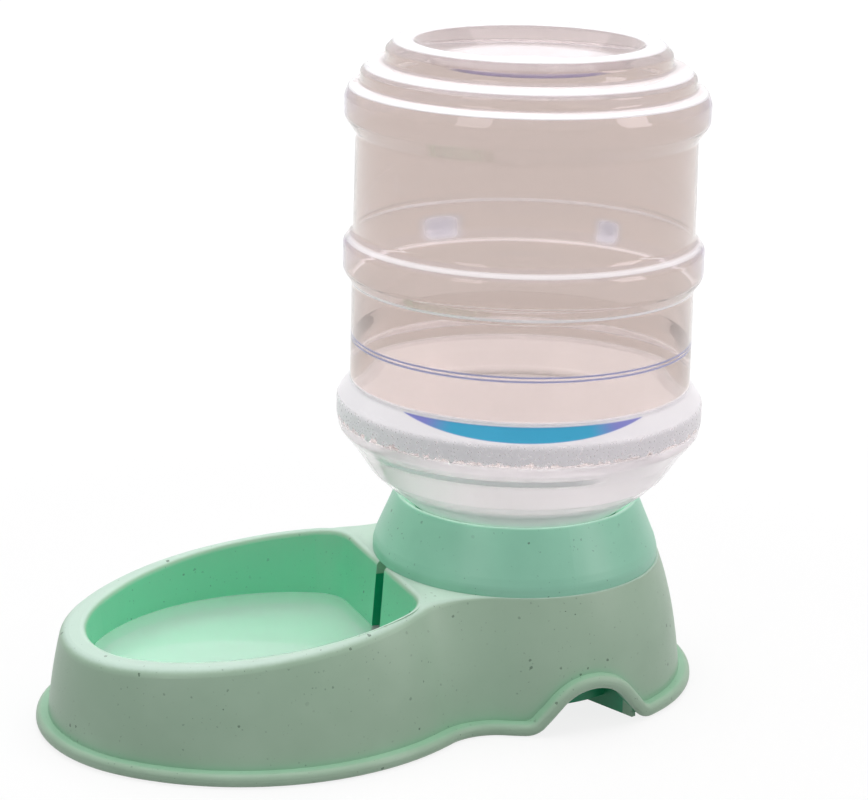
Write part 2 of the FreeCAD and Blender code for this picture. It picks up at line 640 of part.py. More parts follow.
# The moulding in one piece, opened for the bowl, then the lip is rounded.
shell_bead = fuse("ShellBead", [shell, bead])
pans = fuse("Pans", [bowl_pan, well_pan, slot_block])
ribbed = fuse("RibbedPans", [pans, rib_inside])
base_block = fuse("BaseBlock", [shell_bead, ribbed])
bowl_open = cut("BowlOpen", base_block, bowl_void)
doc.recompute()
void_faces = [face for face in bowl_void.Shape.Faces if face.BoundBox.ZLength > 20]
lip_round = val("lip_round")
lip = []
for k in rim_of(bowl_open.Shape, void_faces, 0.02):
    edge = bowl_open.Shape.Edges[k - 1]
    middle = edge.valueAt(sum(edge.ParameterRange) / 2.0)
    if abs(middle.z - top_at(middle.y)) < 0.6:
        lip.append((k, lip_round, lip_round))
print("lip edges", len(lip))
lip_done = rounded("LipRound", bowl_open, lip)
well_open = cut("WellOpen", lip_done, well_void)
slot_open = cut("SlotOpen", well_open, slot_void)
post = cylinder("Post", "post_radius", "post_top - pan_floor_z + 1", "pan_floor_z - 1")
vane_a = box("PostVaneA", "2 * post_vane", "2", "post_top - pan_floor_z - 5 + 1", "-post_vane", "axis_y - 1", "pan_floor_z - 1")
vane_b = box("PostVaneB", "2", "2 * post_vane", "post_top - pan_floor_z - 5 + 1", "0 - 1", "axis_y - post_vane", "pan_floor_z - 1")
base = fuse("Base", [slot_open, post, vane_a, vane_b])
doc.recompute()
print("base", base.State, base.Shape.isValid(), round(base.Shape.Volume), len(base.Shape.Solids), base.Shape.BoundBox)


def turned(name, points, arcs=None):
    """Body turned about the bottle axis from a profile of (radius formula, height formula)."""
    body = doc.addObject("PartDesign::Body", name)
    body.setExpression("Placement.Base.y", ex("axis_y"))
    sk = doc.addObject("Sketcher::SketchObject", name + "Profile")
    body.addObject(sk)
    plane = [o for o in body.Origin.OriginFeatures if o.Role == "XZ_Plane"][0]
    sk.AttachmentSupport = [(plane, "")]
    sk.MapMode = "FlatFace"
    draw(sk, points, arcs or [None] * len(points))
    rev = doc.addObject("PartDesign::Revolution", name + "Turn")
    body.addObject(rev)
    rev.Profile = sk
    rev.ReferenceAxis = (sk, ["V_Axis"])
    rev.Angle = 360
    doc.recompute()
    return body


def soften(body, name, radius, spots, gap=0.05):
    """Rounds the circular edges that pass through the given (radius, height) places."""
    base_feature = body.Tip
    names = []
    for i, edge in enumerate(base_feature.Shape.Edges):
        if edge.Curve.TypeId != "Part::GeomCircle":
            continue
        r = edge.Curve.Radius
        z = edge.Curve.Center.z
        if any(abs(r - num(a)) < gap and abs(z - num(b)) < gap for a, b in spots):
            names.append("Edge%d" % (i + 1))
    fil = doc.addObject("PartDesign::Fillet", name)
    body.addObject(fil)
    fil.Base = (base_feature, names)
    fil.setExpression("Radius", ex(radius))
    doc.recompute()
    print(name, len(names), "of", len(spots), fil.State, fil.Shape.isNull() or fil.Shape.isValid())
    return fil


# Hood: open below, spigot in the reservoir recess, cone seat for the bottle on top.
hood = turned("Hood", [
    ("spigot_radius", "seat_z + 0.2"),
    ("spigot_radius", "deck_z + 0.03"),
    ("hood_radius", "deck_z + 0.03"),
    ("hood_radius", "deck_z + hood_band"),
    ("hood_knee_radius", "hood_knee_z"),
    ("hood_lip_radius", "hood_lip_z"),
    ("hood_lip_radius - hood_seat_width", "hood_lip_z - seat_slope * hood_seat_width"),
    ("hood_lip_radius - hood_seat_width + 0.6", "hood_lip_z - seat_slope * (hood_seat_width - 0.6) - seat_skin"),
    ("hood_lip_radius - 1", "hood_lip_z - seat_slope - seat_skin"),
    ("spigot_inner", "hood_knee_z + 3"),
    ("spigot_inner", "seat_z + 0.2"),
])
soften(hood, "HoodEdges", "hood_mouth_round - 0", [
    ("hood_lip_radius", "hood_lip_z"),
    ("hood_lip_radius - hood_seat_width", "hood_lip_z - seat_slope * hood_seat_width"),
])
soften(hood, "HoodKnee", "hood_band * 1.6", [
    ("hood_radius", "deck_z + hood_band"),
    ("hood_knee_radius", "hood_knee_z"),
])

# Bottle: outside first, then hollowed from the mouth.
BOTTLE = [
    ("0", "neck_end_z"),
    ("neck_radius", "neck_end_z"),
    ("neck_radius", "neck_root_z - 1"),
    ("neck_radius + 6", "neck_root_z + 1.6"),
    ("shoulder_radius - 22", "shoulder_z - seat_slope * 22"),
    ("shoulder_radius", "shoulder_z"),
    ("shoulder_radius + 6.7", "shoulder_z + 6.4"),
    ("body_radius - 1", "shoulder_z + 17.8"),
    ("low_ring_radius - 1", "low_ring_z - 9"),
    ("low_ring_radius", "low_ring_z - 4"),
    ("low_ring_radius", "low_ring_z + 5"),
    ("body_radius + 0.5", "low_ring_z + 12.5"),
    ("body_radius + 0.3", "mid_ring_z - 12.5"),
    ("mid_ring_radius", "mid_ring_z - 6"),
    ("mid_ring_radius", "mid_ring_z + 6"),
    ("body_radius - 0.1", "mid_ring_z + 12"),
    ("body_radius - 0.7", "top_ring_z - 12.5"),
    ("top_ring_radius", "top_ring_z - 5"),
    ("top_ring_radius", "top_ring_z + 4"),
    ("top_ring_radius - 1.9", "top_ring_z + 8.7"),
    ("step_radius", "step_z - 3.6"),
    ("step_radius", "step_z + 1"),
    ("step_radius - 3.4", "step_z + 4.2"),
    ("crown_radius", "step_z + 5.6"),
    ("crown_radius", "crown_z - 4.5"),
    ("crown_radius - 4.6", "crown_z"),
    ("punt_radius + 3", "crown_z"),
    ("punt_radius - 7", "crown_z - punt_depth - 2.6"),
    ("0", "crown_z - punt_depth - 1.2"),
]
ROUNDS = [
    ("Wide", "bottle_wall * 4", (9, 10, 13, 14, 17, 18)),
    ("Middle", "bottle_wall * 3", (8, 11, 12, 15, 16, 25, 26, 27, 3)),
    ("Small", "bottle_wall * 1.9", (2, 19, 21, 22, 24)),
    ("Tight", "bottle_wall * 1.3", (20, 23)),
]


def inward(points, wall_alias, mouth):
    """The same profile set in by the wall; mouth names the points that keep their height."""
    flat = [(num(a), num(b)) for a, b in points]
    result = []
    bends = []
    for i, (a, b) in enumerate(points):
        x, z = flat[i]
        if i == 0:
            result.append((a, "%s - 2" % b))
            bends.append(0)
            continue
        x0, z0 = flat[i - 1]
        if i == len(points) - 1:
            result.append((a, "%s - %s" % (b, wall_alias)))
            bends.append(0)
            continue
        x1, z1 = flat[i + 1]
        la = math.hypot(x - x0, z - z0)
        lb = math.hypot(x1 - x, z1 - z)
        ax, az = (x - x0) / la, (z - z0) / la
        bx, bz = (x1 - x) / lb, (z1 - z) / lb
        bends.append(1 if ax * bz - az * bx > 0 else -1)
        if i in mouth:
            result.append(("%s - %s" % (a, wall_alias), "%s - 2" % b))
            continue
        spread = 1 + (ax * bx + az * bz)
        kx = (-az - bz) / spread
        kz = (ax + bx) / spread
        result.append(("%s + (%.5f) * %s" % (a, kx, wall_alias), "%s + (%.5f) * %s" % (b, kz, wall_alias)))
    return result, bends


bottle_solid = turned("BottleSolid", BOTTLE)
for label, radius, ids in ROUNDS:
    soften(bottle_solid, "Bottle" + label, radius, [BOTTLE[i] for i in ids])
INSIDE, BENDS = inward(BOTTLE, "bottle_wall", (1,))
bottle_inside = turned("BottleInside", INSIDE)
for label, radius, ids in ROUNDS[:2]:
    outer_bend = [i for i in ids if BENDS[i] > 0]
    inner_bend = [i for i in ids if BENDS[i] < 0]
    if outer_bend:
        soften(bottle_inside, "Inside%sOut" % label, "%s - bottle_wall" % radius,
               [INSIDE[i] for i in outer_bend])
    if inner_bend:
        soften(bottle_inside, "Inside%sIn" % label, "%s + bottle_wall" % radius,
               [INSIDE[i] for i in inner_bend])
bottle = cut("Bottle", bottle_solid, bottle_inside)

# Screw cap with its nozzle, valve seat and the guide of the stem.
cap_turn = turned("CapTurn", [
    ("cap_bore", "cap_top_z - 0"),
    ("cap_bore", "cap_plate_z - 0"),
    ("nozzle_radius + 1", "cap_plate_z - 0"),
    ("nozzle_bore + 1.6", "cap_plate_z + 1"),
    ("nozzle_bore - 0", "cap_plate_z + 1"),
    ("nozzle_bore - 0", "nozzle_end_z - 0"),
    ("nozzle_radius - 0", "nozzle_end_z - 0"),
    ("nozzle_radius - 0", "cap_under_z - 0"),
    ("cap_radius - 0", "cap_under_z - 0"),
    ("cap_radius - 0", "cap_top_z - 0"),
])
soften(cap_turn, "CapEdges", "cap_groove + 0.3", [("cap_radius", "cap_under_z"), ("cap_radius", "cap_top_z")])
guide = cylinder("GuideHub", "guide_radius - 0", "guide_height - 0", "guide_z - 0")
guide_hole = cylinder("GuideHole", "stem_radius + stem_fit", "guide_height + 4", "guide_z - 2")
arm_a = box("GuideArmA", "2 * nozzle_bore + 1.6", "1.8", "guide_height - 0", "-nozzle_bore - 0.8",
            "axis_y - 0.9", "guide_z - 0")
arm_b = box("GuideArmB", "1.8", "2 * nozzle_bore + 1.6", "guide_height - 0", "0 - 0.9",
            "axis_y - nozzle_bore - 0.8", "guide_z - 0")
cap_raw = fuse("CapRaw", [cap_turn, guide, arm_a, arm_b])
cap_open = cut("CapOpen", cap_raw, guide_hole)
grooves = []
for i in range(20):
    angle = "%d * 1 deg" % (i * 18)
    groove = doc.addObject("Part::Cylinder", "GripGroove%d" % i)
    groove.setExpression("Radius", ex("cap_groove * 1.6"))
    groove.setExpression("Height", ex("cap_top_z - cap_under_z - 6"))
    reach = "(cap_radius + cap_groove * 0.6)"
    groove.setExpression("Placement.Base.x", ex("%s * cos(%s)" % (reach, angle)).replace("Sizes.deg", "deg"))
    groove.setExpression("Placement.Base.y", ex("axis_y + %s * sin(%s)" % (reach, angle)).replace("Sizes.deg", "deg"))
    groove.setExpression("Placement.Base.z", ex("cap_under_z + 3"))
    grooves.append(groove)
groove_set = doc.addObject("Part::Compound", "GripGrooves")
groove_set.Links = grooves
cap = cut("NeckCap", cap_open, groove_set)

gasket = turned("CapGasket", [
    ("neck_radius - 3.6", "cap_plate_z + 0.03"),
    ("neck_radius - 0.1", "cap_plate_z + 0.03"),
    ("neck_radius - 0.1", "cap_plate_z + 0.03 + gasket_height"),
    ("neck_radius - 3.6", "cap_plate_z + 0.03 + gasket_height"),
])

# Valve: stem with button and disc, seal under the disc, spring round the stem.
plunger = turned("ValvePlunger", [
    ("0", "plunger_z - 0"),
    ("button_radius - 0", "plunger_z - 0"),
    ("button_radius - 0", "spring_low_z - 0"),
    ("stem_radius - 0", "spring_low_z - 0"),
    ("stem_radius - 0", "disc_z - seal_height - 1.2"),
    ("seal_inner + 1.4", "disc_z - seal_height - 1.2"),
    ("seal_inner + 1.4", "disc_z - seal_height - 0.03"),
    ("seal_inner - 0.05", "disc_z - seal_height - 0.03"),
    ("seal_inner - 0.05", "disc_z - 0"),
    ("disc_radius - 0", "disc_z - 0"),
    ("disc_radius - 0", "disc_z + disc_height"),
    ("stem_radius + 1", "disc_z + disc_height"),
    ("stem_radius + 0.4", "disc_z + disc_height + 2.4"),
    ("0", "disc_z + disc_height + 2.4"),
])
soften(plunger, "PlungerEdges", "0.5", [
    ("button_radius", "plunger_z"), ("button_radius", "spring_low_z"), ("disc_radius", "disc_z + disc_height"),
])
seal = turned("ValveSeal", [
    ("seal_inner - 0", "disc_z - seal_height"),
    ("disc_radius - 0.4", "disc_z - seal_height"),
    ("disc_radius - 0.4", "disc_z - 0.02"),
    ("seal_inner - 0", "disc_z - 0.02"),
])

# The spring is half rings end to end: every other one leans, so that it climbs by one pitch.
# Both halves meet square to the same plane, which keeps the wire round at every join.
climbs = int(val("spring_turns"))
coil = []
for i in range(2 * climbs + 1):
    half = doc.addObject("Part::Torus", "SpringHalf")
    half.setExpression("Radius2", ex("spring_wire - 0"))
    half.Angle3 = 180
    half.setExpression("Placement.Base.y", ex("axis_y - 0"))
    if i % 2:
        half.Placement = FreeCAD.Placement(half.Placement.Base, FreeCAD.Rotation(FreeCAD.Vector(0, 1, 0), 5))
        half.setExpression("Radius1", ex("sqrt(spring_radius^2 + (spring_pitch / 2)^2)"))
        half.setExpression("Placement.Rotation.Angle", ex("atan(spring_pitch / 2 / spring_radius)"))
        half.setExpression("Placement.Base.z", ex("spring_low_z + spring_wire + 0.05 + spring_pitch * %s" % (i / 2)))
    else:
        half.Placement = FreeCAD.Placement(half.Placement.Base, FreeCAD.Rotation(FreeCAD.Vector(0, 0, 1), 180))
        half.setExpression("Radius1", ex("spring_radius - 0"))
        half.setExpression("Placement.Base.z", ex("spring_low_z + spring_wire + 0.05 + spring_pitch * %d" % (i // 2)))
    half.setExpression("Placement.Base.y", ex("axis_y - 0"))
    coil.append(half)
spring = fuse("ValveSpring", coil)
doc.recompute()

NODES = [
    ("base_bowl", base), ("hood", hood), ("bottle", bottle), ("neck_cap", cap),
    ("cap_gasket", gasket), ("valve_plunger", plunger), ("valve_seal", seal), ("valve_spring", spring),
]
for ob in doc.Objects:
    if "Invalid" in ob.State or "Error" in ob.State:
        raise SystemExit("not built: %s" % ob.Name)
os.makedirs("parts", exist_ok=True)
for node, ob in NODES:
    if ob.Shape.isNull() or not ob.Shape.isValid():
        raise SystemExit("bad shape: %s" % node)
    ob.Shape.exportStep("parts/%s.step" % node)
    bb = ob.Shape.optimalBoundingBox(False, False)
    print("%-14s solids %d volume %8.0f  x %.2f %.2f  y %.2f %.2f  z %.2f %.2f" % (
        node, len(ob.Shape.Solids), ob.Shape.Volume, bb.XMin, bb.XMax, bb.YMin, bb.YMax, bb.ZMin, bb.ZMax))
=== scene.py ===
# %% [markdown]
# # A gravity water dispenser for a pet
#
# The CAD solids hold the true sizes. This lesson gives each of them a finish, blows the clear bottle
# again as a fine turned surface, fills the bottle and the bowl with water, and lights the whole as in
# a product photograph. All lengths are in metres, and Z points up.

# %% Load the solids
import math

import bmesh
import bpy
from mathutils import Matrix, Vector


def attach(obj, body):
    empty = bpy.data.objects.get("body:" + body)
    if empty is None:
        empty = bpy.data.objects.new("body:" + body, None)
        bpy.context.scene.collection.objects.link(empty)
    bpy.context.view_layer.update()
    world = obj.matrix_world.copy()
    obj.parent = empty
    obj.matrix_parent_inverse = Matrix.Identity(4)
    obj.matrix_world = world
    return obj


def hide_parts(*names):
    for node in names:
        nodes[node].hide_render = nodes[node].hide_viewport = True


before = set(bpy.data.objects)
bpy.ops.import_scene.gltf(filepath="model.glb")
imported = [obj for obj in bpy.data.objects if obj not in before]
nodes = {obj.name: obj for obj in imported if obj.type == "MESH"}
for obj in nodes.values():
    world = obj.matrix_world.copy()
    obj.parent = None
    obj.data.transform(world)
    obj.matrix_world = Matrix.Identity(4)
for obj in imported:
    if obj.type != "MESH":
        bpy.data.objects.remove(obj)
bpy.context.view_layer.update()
print("solids:", sorted(nodes))

# %% [markdown]
# ## Camera
#
# The photograph was taken from the bowl's right, a little above the hood, with a long lens. A camera
# can be aimed with a tracking constraint, but here the eye point, heading, pitch and roll were worked
# out from the outline of the base, so the three axes of the camera are written straight into its
# matrix. That keeps the picture's slight roll.

# %% Camera
bottle_box = [nodes["bottle"].matrix_world @ Vector(corner) for corner in nodes["bottle"].bound_box]
AXIS_Y = sum(corner.y for corner in bottle_box) / 8  # the bottle stands on this line
EYE = Vector((1.022, AXIS_Y - 0.4763, 0.4691))
HEADING = math.radians(67.01)
PITCH = math.radians(16.58)
ROLL = math.radians(1.17)
FOCAL_PIXELS = 2535
PHOTO_WIDTH = 868

look = Vector((-math.sin(HEADING) * math.cos(PITCH), math.cos(HEADING) * math.cos(PITCH), -math.sin(PITCH)))
level = look.cross(Vector((0, 0, 1))).normalized()
above = level.cross(look)
side = level * math.cos(ROLL) + above * math.sin(ROLL)
top = above * math.cos(ROLL) - level * math.sin(ROLL)

camera_data = bpy.data.cameras.new("photo_camera")
camera_data.sensor_width = 36
camera_data.lens = FOCAL_PIXELS / PHOTO_WIDTH * camera_data.sensor_width
camera_data.clip_start = 0.05
camera_data.clip_end = 50
camera = bpy.data.objects.new("photo_camera", camera_data)
bpy.context.collection.objects.link(camera)
camera.matrix_world = Matrix.Translation(EYE) @ Matrix((side, top, -look)).transposed().to_4x4()
bpy.context.scene.camera = camera
print("lens", round(camera_data.lens, 1), "mm")

# %% [markdown]
# ## Nodes for a finish
#
# Every finish here is one Principled shader with a few texture nodes in front of it. The same three
# steps come back each time, so they get small helpers: start a material, add a node with its settings,
# and join two sockets.

# %% Material helpers
def new_finish(name):
    """A material with one Principled shader; returns the material, its tree and the shader."""
    finish = bpy.data.materials.new(name)
    finish.use_nodes = True
    tree = finish.node_tree
    return finish, tree, tree.nodes["Principled BSDF"]


def add_node(tree, kind, **settings):
    """A new node; settings with the name of an input set that input, others set the node itself."""
    node = tree.nodes.new(kind)
    for key, value in settings.items():
        if hasattr(node, key):
            setattr(node, key, value)
        else:
            node.inputs[key.replace("_", " ").title()].default_value = value
    return node


def join(tree, source, target):
    """A link from an output to an input."""
    tree.links.new(source, target)


def calc(tree, operation, first, second=0.0, clamp=False):
    """A Math node on two sockets or numbers; returns its result."""
    node = add_node(tree, "ShaderNodeMath", operation=operation, use_clamp=clamp)
    for slot, value in enumerate((first, second)):
        if hasattr(value, "links"):
            join(tree, value, node.inputs[slot])
        else:
            node.inputs[slot].default_value = value
    return node.outputs[0]


def blend_colours(tree, factor, first, second):
    """A colour mix; factor is a socket, the colours are sockets or values."""
    node = add_node(tree, "ShaderNodeMix", data_type="RGBA")
    join(tree, factor, node.inputs["Factor"])
    for slot, value in (("A", first), ("B", second)):
        target = [s for s in node.inputs if s.name == slot and s.type == "RGBA"][0]
        if hasattr(value, "links"):
            join(tree, value, target)
        else:
            target.default_value = value
    return [s for s in node.outputs if s.type == "RGBA"][0]


def srgb(red, green, blue):
    """A colour as a screen shows it, 0 to 255, in the linear values that shaders use."""
    parts = []
    for value in (red, green, blue):
        share = value / 255
        parts.append(share / 12.92 if share <= 0.04045 else ((share + 0.055) / 1.055) ** 2.4)
    return (*parts, 1.0)


def noise(tree, place, scale, detail, roughness=0.5):
    """A noise texture over a place; its outputs are Fac and Color."""
    pattern = add_node(tree, "ShaderNodeTexNoise", scale=scale, detail=detail, roughness=roughness)
    join(tree, place, pattern.inputs["Vector"])
    return pattern


def dent(tree, shader, height, strength, distance):
    """Fine relief on a shader, from a height that is a socket."""
    bump = add_node(tree, "ShaderNodeBump", strength=strength, distance=distance)
    join(tree, height, bump.inputs["Height"])
    join(tree, bump.outputs["Normal"], shader.inputs["Normal"])


print("material helpers ready")

# %% [markdown]
# ## Masks by place
#
# On this object the finish changes with the place, partly as painted light: greener in the bowl from
# painted bounce light, whiter on the bottle's rings from clouded wall and painted highlights.
# Vertex paint or painted textures could hold that, but they need a dense or unwrapped mesh. Here a mask
# is worked out in the shader from the place itself: soft steps of a height, a radius or an angle, which
# are multiplied where both have to hold and compared where one is enough.

# %% Mask helpers
def remap(tree, value, low, high, new_low=0.0, new_high=1.0, smooth=True):
    """A soft step of a socket between low and high."""
    node = add_node(tree, "ShaderNodeMapRange", interpolation_type="SMOOTHSTEP" if smooth else "LINEAR")
    join(tree, value, node.inputs["Value"])
    node.inputs["From Min"].default_value = low
    node.inputs["From Max"].default_value = high
    node.inputs["To Min"].default_value = new_low
    node.inputs["To Max"].default_value = new_high
    return node.outputs["Result"]


def band(tree, value, middle, reach, soft):
    """1 within reach of a value, falling to 0 over soft."""
    away = calc(tree, "ABSOLUTE", calc(tree, "SUBTRACT", value, middle))
    return remap(tree, away, reach, reach + soft, 1.0, 0.0)


def times(tree, *factors):
    """Product of sockets and numbers: where all the masks hold."""
    result = factors[0]
    for factor in factors[1:]:
        result = calc(tree, "MULTIPLY", result, factor)
    return result


def largest(tree, *values):
    """Greatest of several sockets: where one of the masks holds."""
    result = values[0]
    for value in values[1:]:
        result = calc(tree, "MAXIMUM", result, value)
    return result


FRONT = -25.0  # degrees round the axis, from the bowl's right toward the camera


def round_the_axis(tree, place):
    """Height, distance from the bottle's axis, and angle in degrees from the side of the camera."""
    parts = add_node(tree, "ShaderNodeSeparateXYZ")
    join(tree, place, parts.inputs[0])
    across = calc(tree, "SUBTRACT", parts.outputs["Y"], AXIS_Y)
    aside = parts.outputs["X"]
    square = calc(tree, "ADD", times(tree, across, across), times(tree, aside, aside))
    angle = times(tree, calc(tree, "ARCTAN2", across, aside), 180 / math.pi)
    turned = add_node(tree, "ShaderNodeMath", operation="WRAP")
    join(tree, calc(tree, "SUBTRACT", angle, FRONT), turned.inputs[0])
    turned.inputs[1].default_value = 180
    turned.inputs[2].default_value = -180
    return parts.outputs["Z"], calc(tree, "SQRT", square), turned.outputs[0]


print("mask helpers ready")

# %% [markdown]
# ## Speckled mint plastic
#
# Base and hood are moulded in a plastic filled with ground plant fibre. It shows as fine dark specks,
# sparse and of uneven size, in a pale green that is never quite even. Painted textures would need an
# unwrapped surface, so the specks come from a Voronoi pattern in object space: each cell holds one
# point, and a ball round some of these points, cut by the surface, is a speck.

# %% Specks
COARSE_SPECKS = (0.0046, 0.0009, 0.38)  # cell, biggest speck, share of the cells
FINE_SPECKS = (0.0019, 0.00042, 0.45)
COARSE_DEPTH = 0.70
FINE_DEPTH = 0.38
BEND = 0.0011


def fibre_specks(tree, place, cell, biggest, share):
    """Mask of specks: cell and biggest are lengths, share is the part of the cells that hold one."""
    pattern = add_node(tree, "ShaderNodeTexVoronoi", feature="F1")
    pattern.inputs["Scale"].default_value = 1 / cell
    join(tree, place, pattern.inputs["Vector"])
    chance = add_node(tree, "ShaderNodeSeparateColor")
    join(tree, pattern.outputs["Color"], chance.inputs[0])
    size = calc(tree, "MULTIPLY", chance.outputs["Green"], biggest / cell)
    inside = calc(tree, "LESS_THAN", pattern.outputs["Distance"], size)
    chosen = calc(tree, "LESS_THAN", chance.outputs["Red"], share)
    return calc(tree, "MULTIPLY", inside, chosen)


def speckle(tree, place):
    """Two sizes of specks, bent out of round and crowded in some places."""
    bent = noise(tree, place, 1100.0, 2.0)
    wobble = add_node(tree, "ShaderNodeVectorMath", operation="MULTIPLY_ADD")
    join(tree, bent.outputs["Color"], wobble.inputs[0])
    wobble.inputs[1].default_value = (BEND, BEND, BEND)
    join(tree, place, wobble.inputs[2])
    coarse = times(tree, fibre_specks(tree, wobble.outputs[0], *COARSE_SPECKS), COARSE_DEPTH)
    fine = times(tree, fibre_specks(tree, wobble.outputs[0], *FINE_SPECKS), FINE_DEPTH)
    crowd = remap(tree, noise(tree, place, 45.0, 1.0).outputs["Fac"], 0.35, 0.62, 0.2, 1.0)
    return times(tree, largest(tree, coarse, fine), crowd)


print("specks: cells of", COARSE_SPECKS[0], "and", FINE_SPECKS[0], "m")

# %% [markdown]
# ## Painted light and shade: deeper green in the hollows
#
# Light that enters a hollow is filtered by the plastic again and again, so its green grows deeper. Here
# that is painted into the colour: an Ambient Occlusion node tells how hollow a place is, for a painted
# bounce green, and masks by place add where that matters most: more of it in the drinking bowl, and a
# painted dark shade green in the slot to the reservoir and under the moulding, which shows through the
# arches. A mask of the flat tops carries a paler green, a painted light.

# %% Places on the base
BOWL_MIDDLE = 0.138  # these four are distances from the bottle's axis toward the bowl
BOWL_STARTS = 0.065
SLOT_MIDDLE = 0.064
WAIST_MIDDLE = 0.060
SLOT_MASK = (0.0047, 0.0078)  # half its width, half its length
SLOT_MASK_TOP = 0.0556
SKIRT_INSIDE = 0.066
WELL_OUTSIDE = 0.072
UNDER_SKIRT_TOP = 0.048
UNDER_WELL_TOP = 0.032


def level_dot(tree, place, centre_y, normal):
    """Below zero where a surface faces the upright line at (0, centre_y), the more so far from it."""
    arm = add_node(tree, "ShaderNodeVectorMath", operation="SUBTRACT")
    join(tree, place, arm.inputs[0])
    arm.inputs[1].default_value = (0, centre_y, 0)
    flat = add_node(tree, "ShaderNodeVectorMath", operation="MULTIPLY")
    join(tree, normal, flat.inputs[0])
    flat.inputs[1].default_value = (1, 1, 0)
    product = add_node(tree, "ShaderNodeVectorMath", operation="DOT_PRODUCT")
    join(tree, arm.outputs[0], product.inputs[0])
    join(tree, flat.outputs[0], product.inputs[1])
    return product.outputs["Value"]


def places_of_base(tree, place):
    """Masks for painted light and shade: inside the drinking bowl, in the slot, under the moulding, and its
    flat tops.
    """
    normal = add_node(tree, "ShaderNodeNewGeometry").outputs["Normal"]
    facing = add_node(tree, "ShaderNodeSeparateXYZ")
    join(tree, normal, facing.inputs[0])
    parts = add_node(tree, "ShaderNodeSeparateXYZ")
    join(tree, place, parts.inputs[0])
    height, radius, _ = round_the_axis(tree, place)
    from_axis = calc(tree, "SUBTRACT", AXIS_Y, parts.outputs["Y"])
    bowl_wall = remap(tree, level_dot(tree, place, AXIS_Y - BOWL_MIDDLE, normal), -0.004, -0.022)
    bowl_floor = times(tree, remap(tree, facing.outputs["Z"], 0.3, 0.7), remap(tree, height, 0.024, 0.018))
    in_bowl = times(tree, largest(tree, bowl_wall, bowl_floor),
                    remap(tree, from_axis, BOWL_STARTS - 0.0015, BOWL_STARTS + 0.0015),
                    remap(tree, height, 0.0080, 0.0085))
    in_slot = times(tree, band(tree, parts.outputs["X"], 0.0, SLOT_MASK[0], 0.0002),
                    band(tree, from_axis, SLOT_MIDDLE, SLOT_MASK[1], 0.0004),
                    remap(tree, height, SLOT_MASK_TOP + 0.0004, SLOT_MASK_TOP - 0.0004))
    behind_skirt = times(tree, remap(tree, level_dot(tree, place, AXIS_Y, normal), -0.005, -0.020),
                         remap(tree, radius, SKIRT_INSIDE - 0.0005, SKIRT_INSIDE + 0.0005),
                         remap(tree, height, UNDER_SKIRT_TOP + 0.002, UNDER_SKIRT_TOP - 0.002))
    within = times(tree, remap(tree, radius, WELL_OUTSIDE + 0.0005, WELL_OUTSIDE - 0.0005),
                   remap(tree, height, UNDER_WELL_TOP + 0.002, UNDER_WELL_TOP - 0.002))
    under = times(tree, largest(tree, behind_skirt, within),
                  remap(tree, from_axis, WAIST_MIDDLE + 0.002, WAIST_MIDDLE - 0.002))
    lit_flat_tops = times(tree, remap(tree, facing.outputs["Z"], 0.55, 0.95), remap(tree, height, 0.034, 0.040))
    return in_bowl, in_slot, under, lit_flat_tops


print("masks for bowl, slot, underside and tops ready")

# %% Mint plastic
HOLLOW_REACH = 0.11


def mint_plastic(name, colours, roughness):
    """Fibre-filled plastic; colours are the body, a second tone, painted light on tops, painted bounce
    light in the bowl and painted shade in deep hollows.
    """
    body, shade, pale, bounce_green, shade_green = colours
    finish, tree, shader = new_finish(name)
    place = add_node(tree, "ShaderNodeTexCoord").outputs["Object"]
    cloud = noise(tree, place, 22.0, 3.0, 0.55)
    green = blend_colours(tree, remap(tree, cloud.outputs["Fac"], 0.3, 0.7), body, shade)
    in_bowl, in_slot, under, lit_flat_tops = places_of_base(tree, place)
    depth = add_node(tree, "ShaderNodeAmbientOcclusion", only_local=True, samples=8)
    depth.inputs["Distance"].default_value = HOLLOW_REACH
    hollow = remap(tree, depth.outputs["AO"], 0.92, 0.66)
    # painted light: the flat tops blend toward a paler green
    green = blend_colours(tree, times(tree, lit_flat_tops, 0.8), green, pale)
    # painted bounce light: greener in the hollows, most of all in the drinking bowl
    bounce_share = largest(tree, times(tree, hollow, in_bowl), times(tree, hollow, 0.22))
    green = blend_colours(tree, bounce_share, green, bounce_green)
    # painted shade: dark green in the slot and under the moulding
    green = blend_colours(tree, largest(tree, in_slot, times(tree, under, 0.97)), green, shade_green)
    join(tree, blend_colours(tree, speckle(tree, place), green, FIBRE), shader.inputs["Base Color"])
    grain = noise(tree, place, 1400.0, 2.0).outputs["Fac"]
    join(tree, remap(tree, grain, 0.3, 0.7, roughness - 0.04, roughness + 0.06), shader.inputs["Roughness"])
    dent(tree, shader, grain, 0.12, 0.0002)
    return finish


FIBRE = srgb(70, 98, 78)
# painted bounce light: the green of the hollows and the drinking bowl
BOUNCE_GREEN = srgb(122, 220, 174)
# painted shade: the dark green in the slot and under the moulding
SHADE_GREEN = srgb(10, 160, 112)
# third colour of each set: painted light on the flat tops
BASE_COLOURS = (srgb(168, 197, 173), srgb(159, 189, 164), srgb(200, 223, 211), BOUNCE_GREEN, SHADE_GREEN)
# the hood's set is a brighter, greener copy of the base's for the same plastic: painted light on the hood
HOOD_COLOURS_AND_LIGHT = (srgb(152, 216, 188), srgb(143, 208, 180), srgb(190, 222, 208), BOUNCE_GREEN, SHADE_GREEN)
base_finish = mint_plastic("mint_base", BASE_COLOURS, 0.38)
hood_finish = mint_plastic("mint_hood", HOOD_COLOURS_AND_LIGHT, 0.34)
print("mint finishes:", base_finish.name, hood_finish.name)

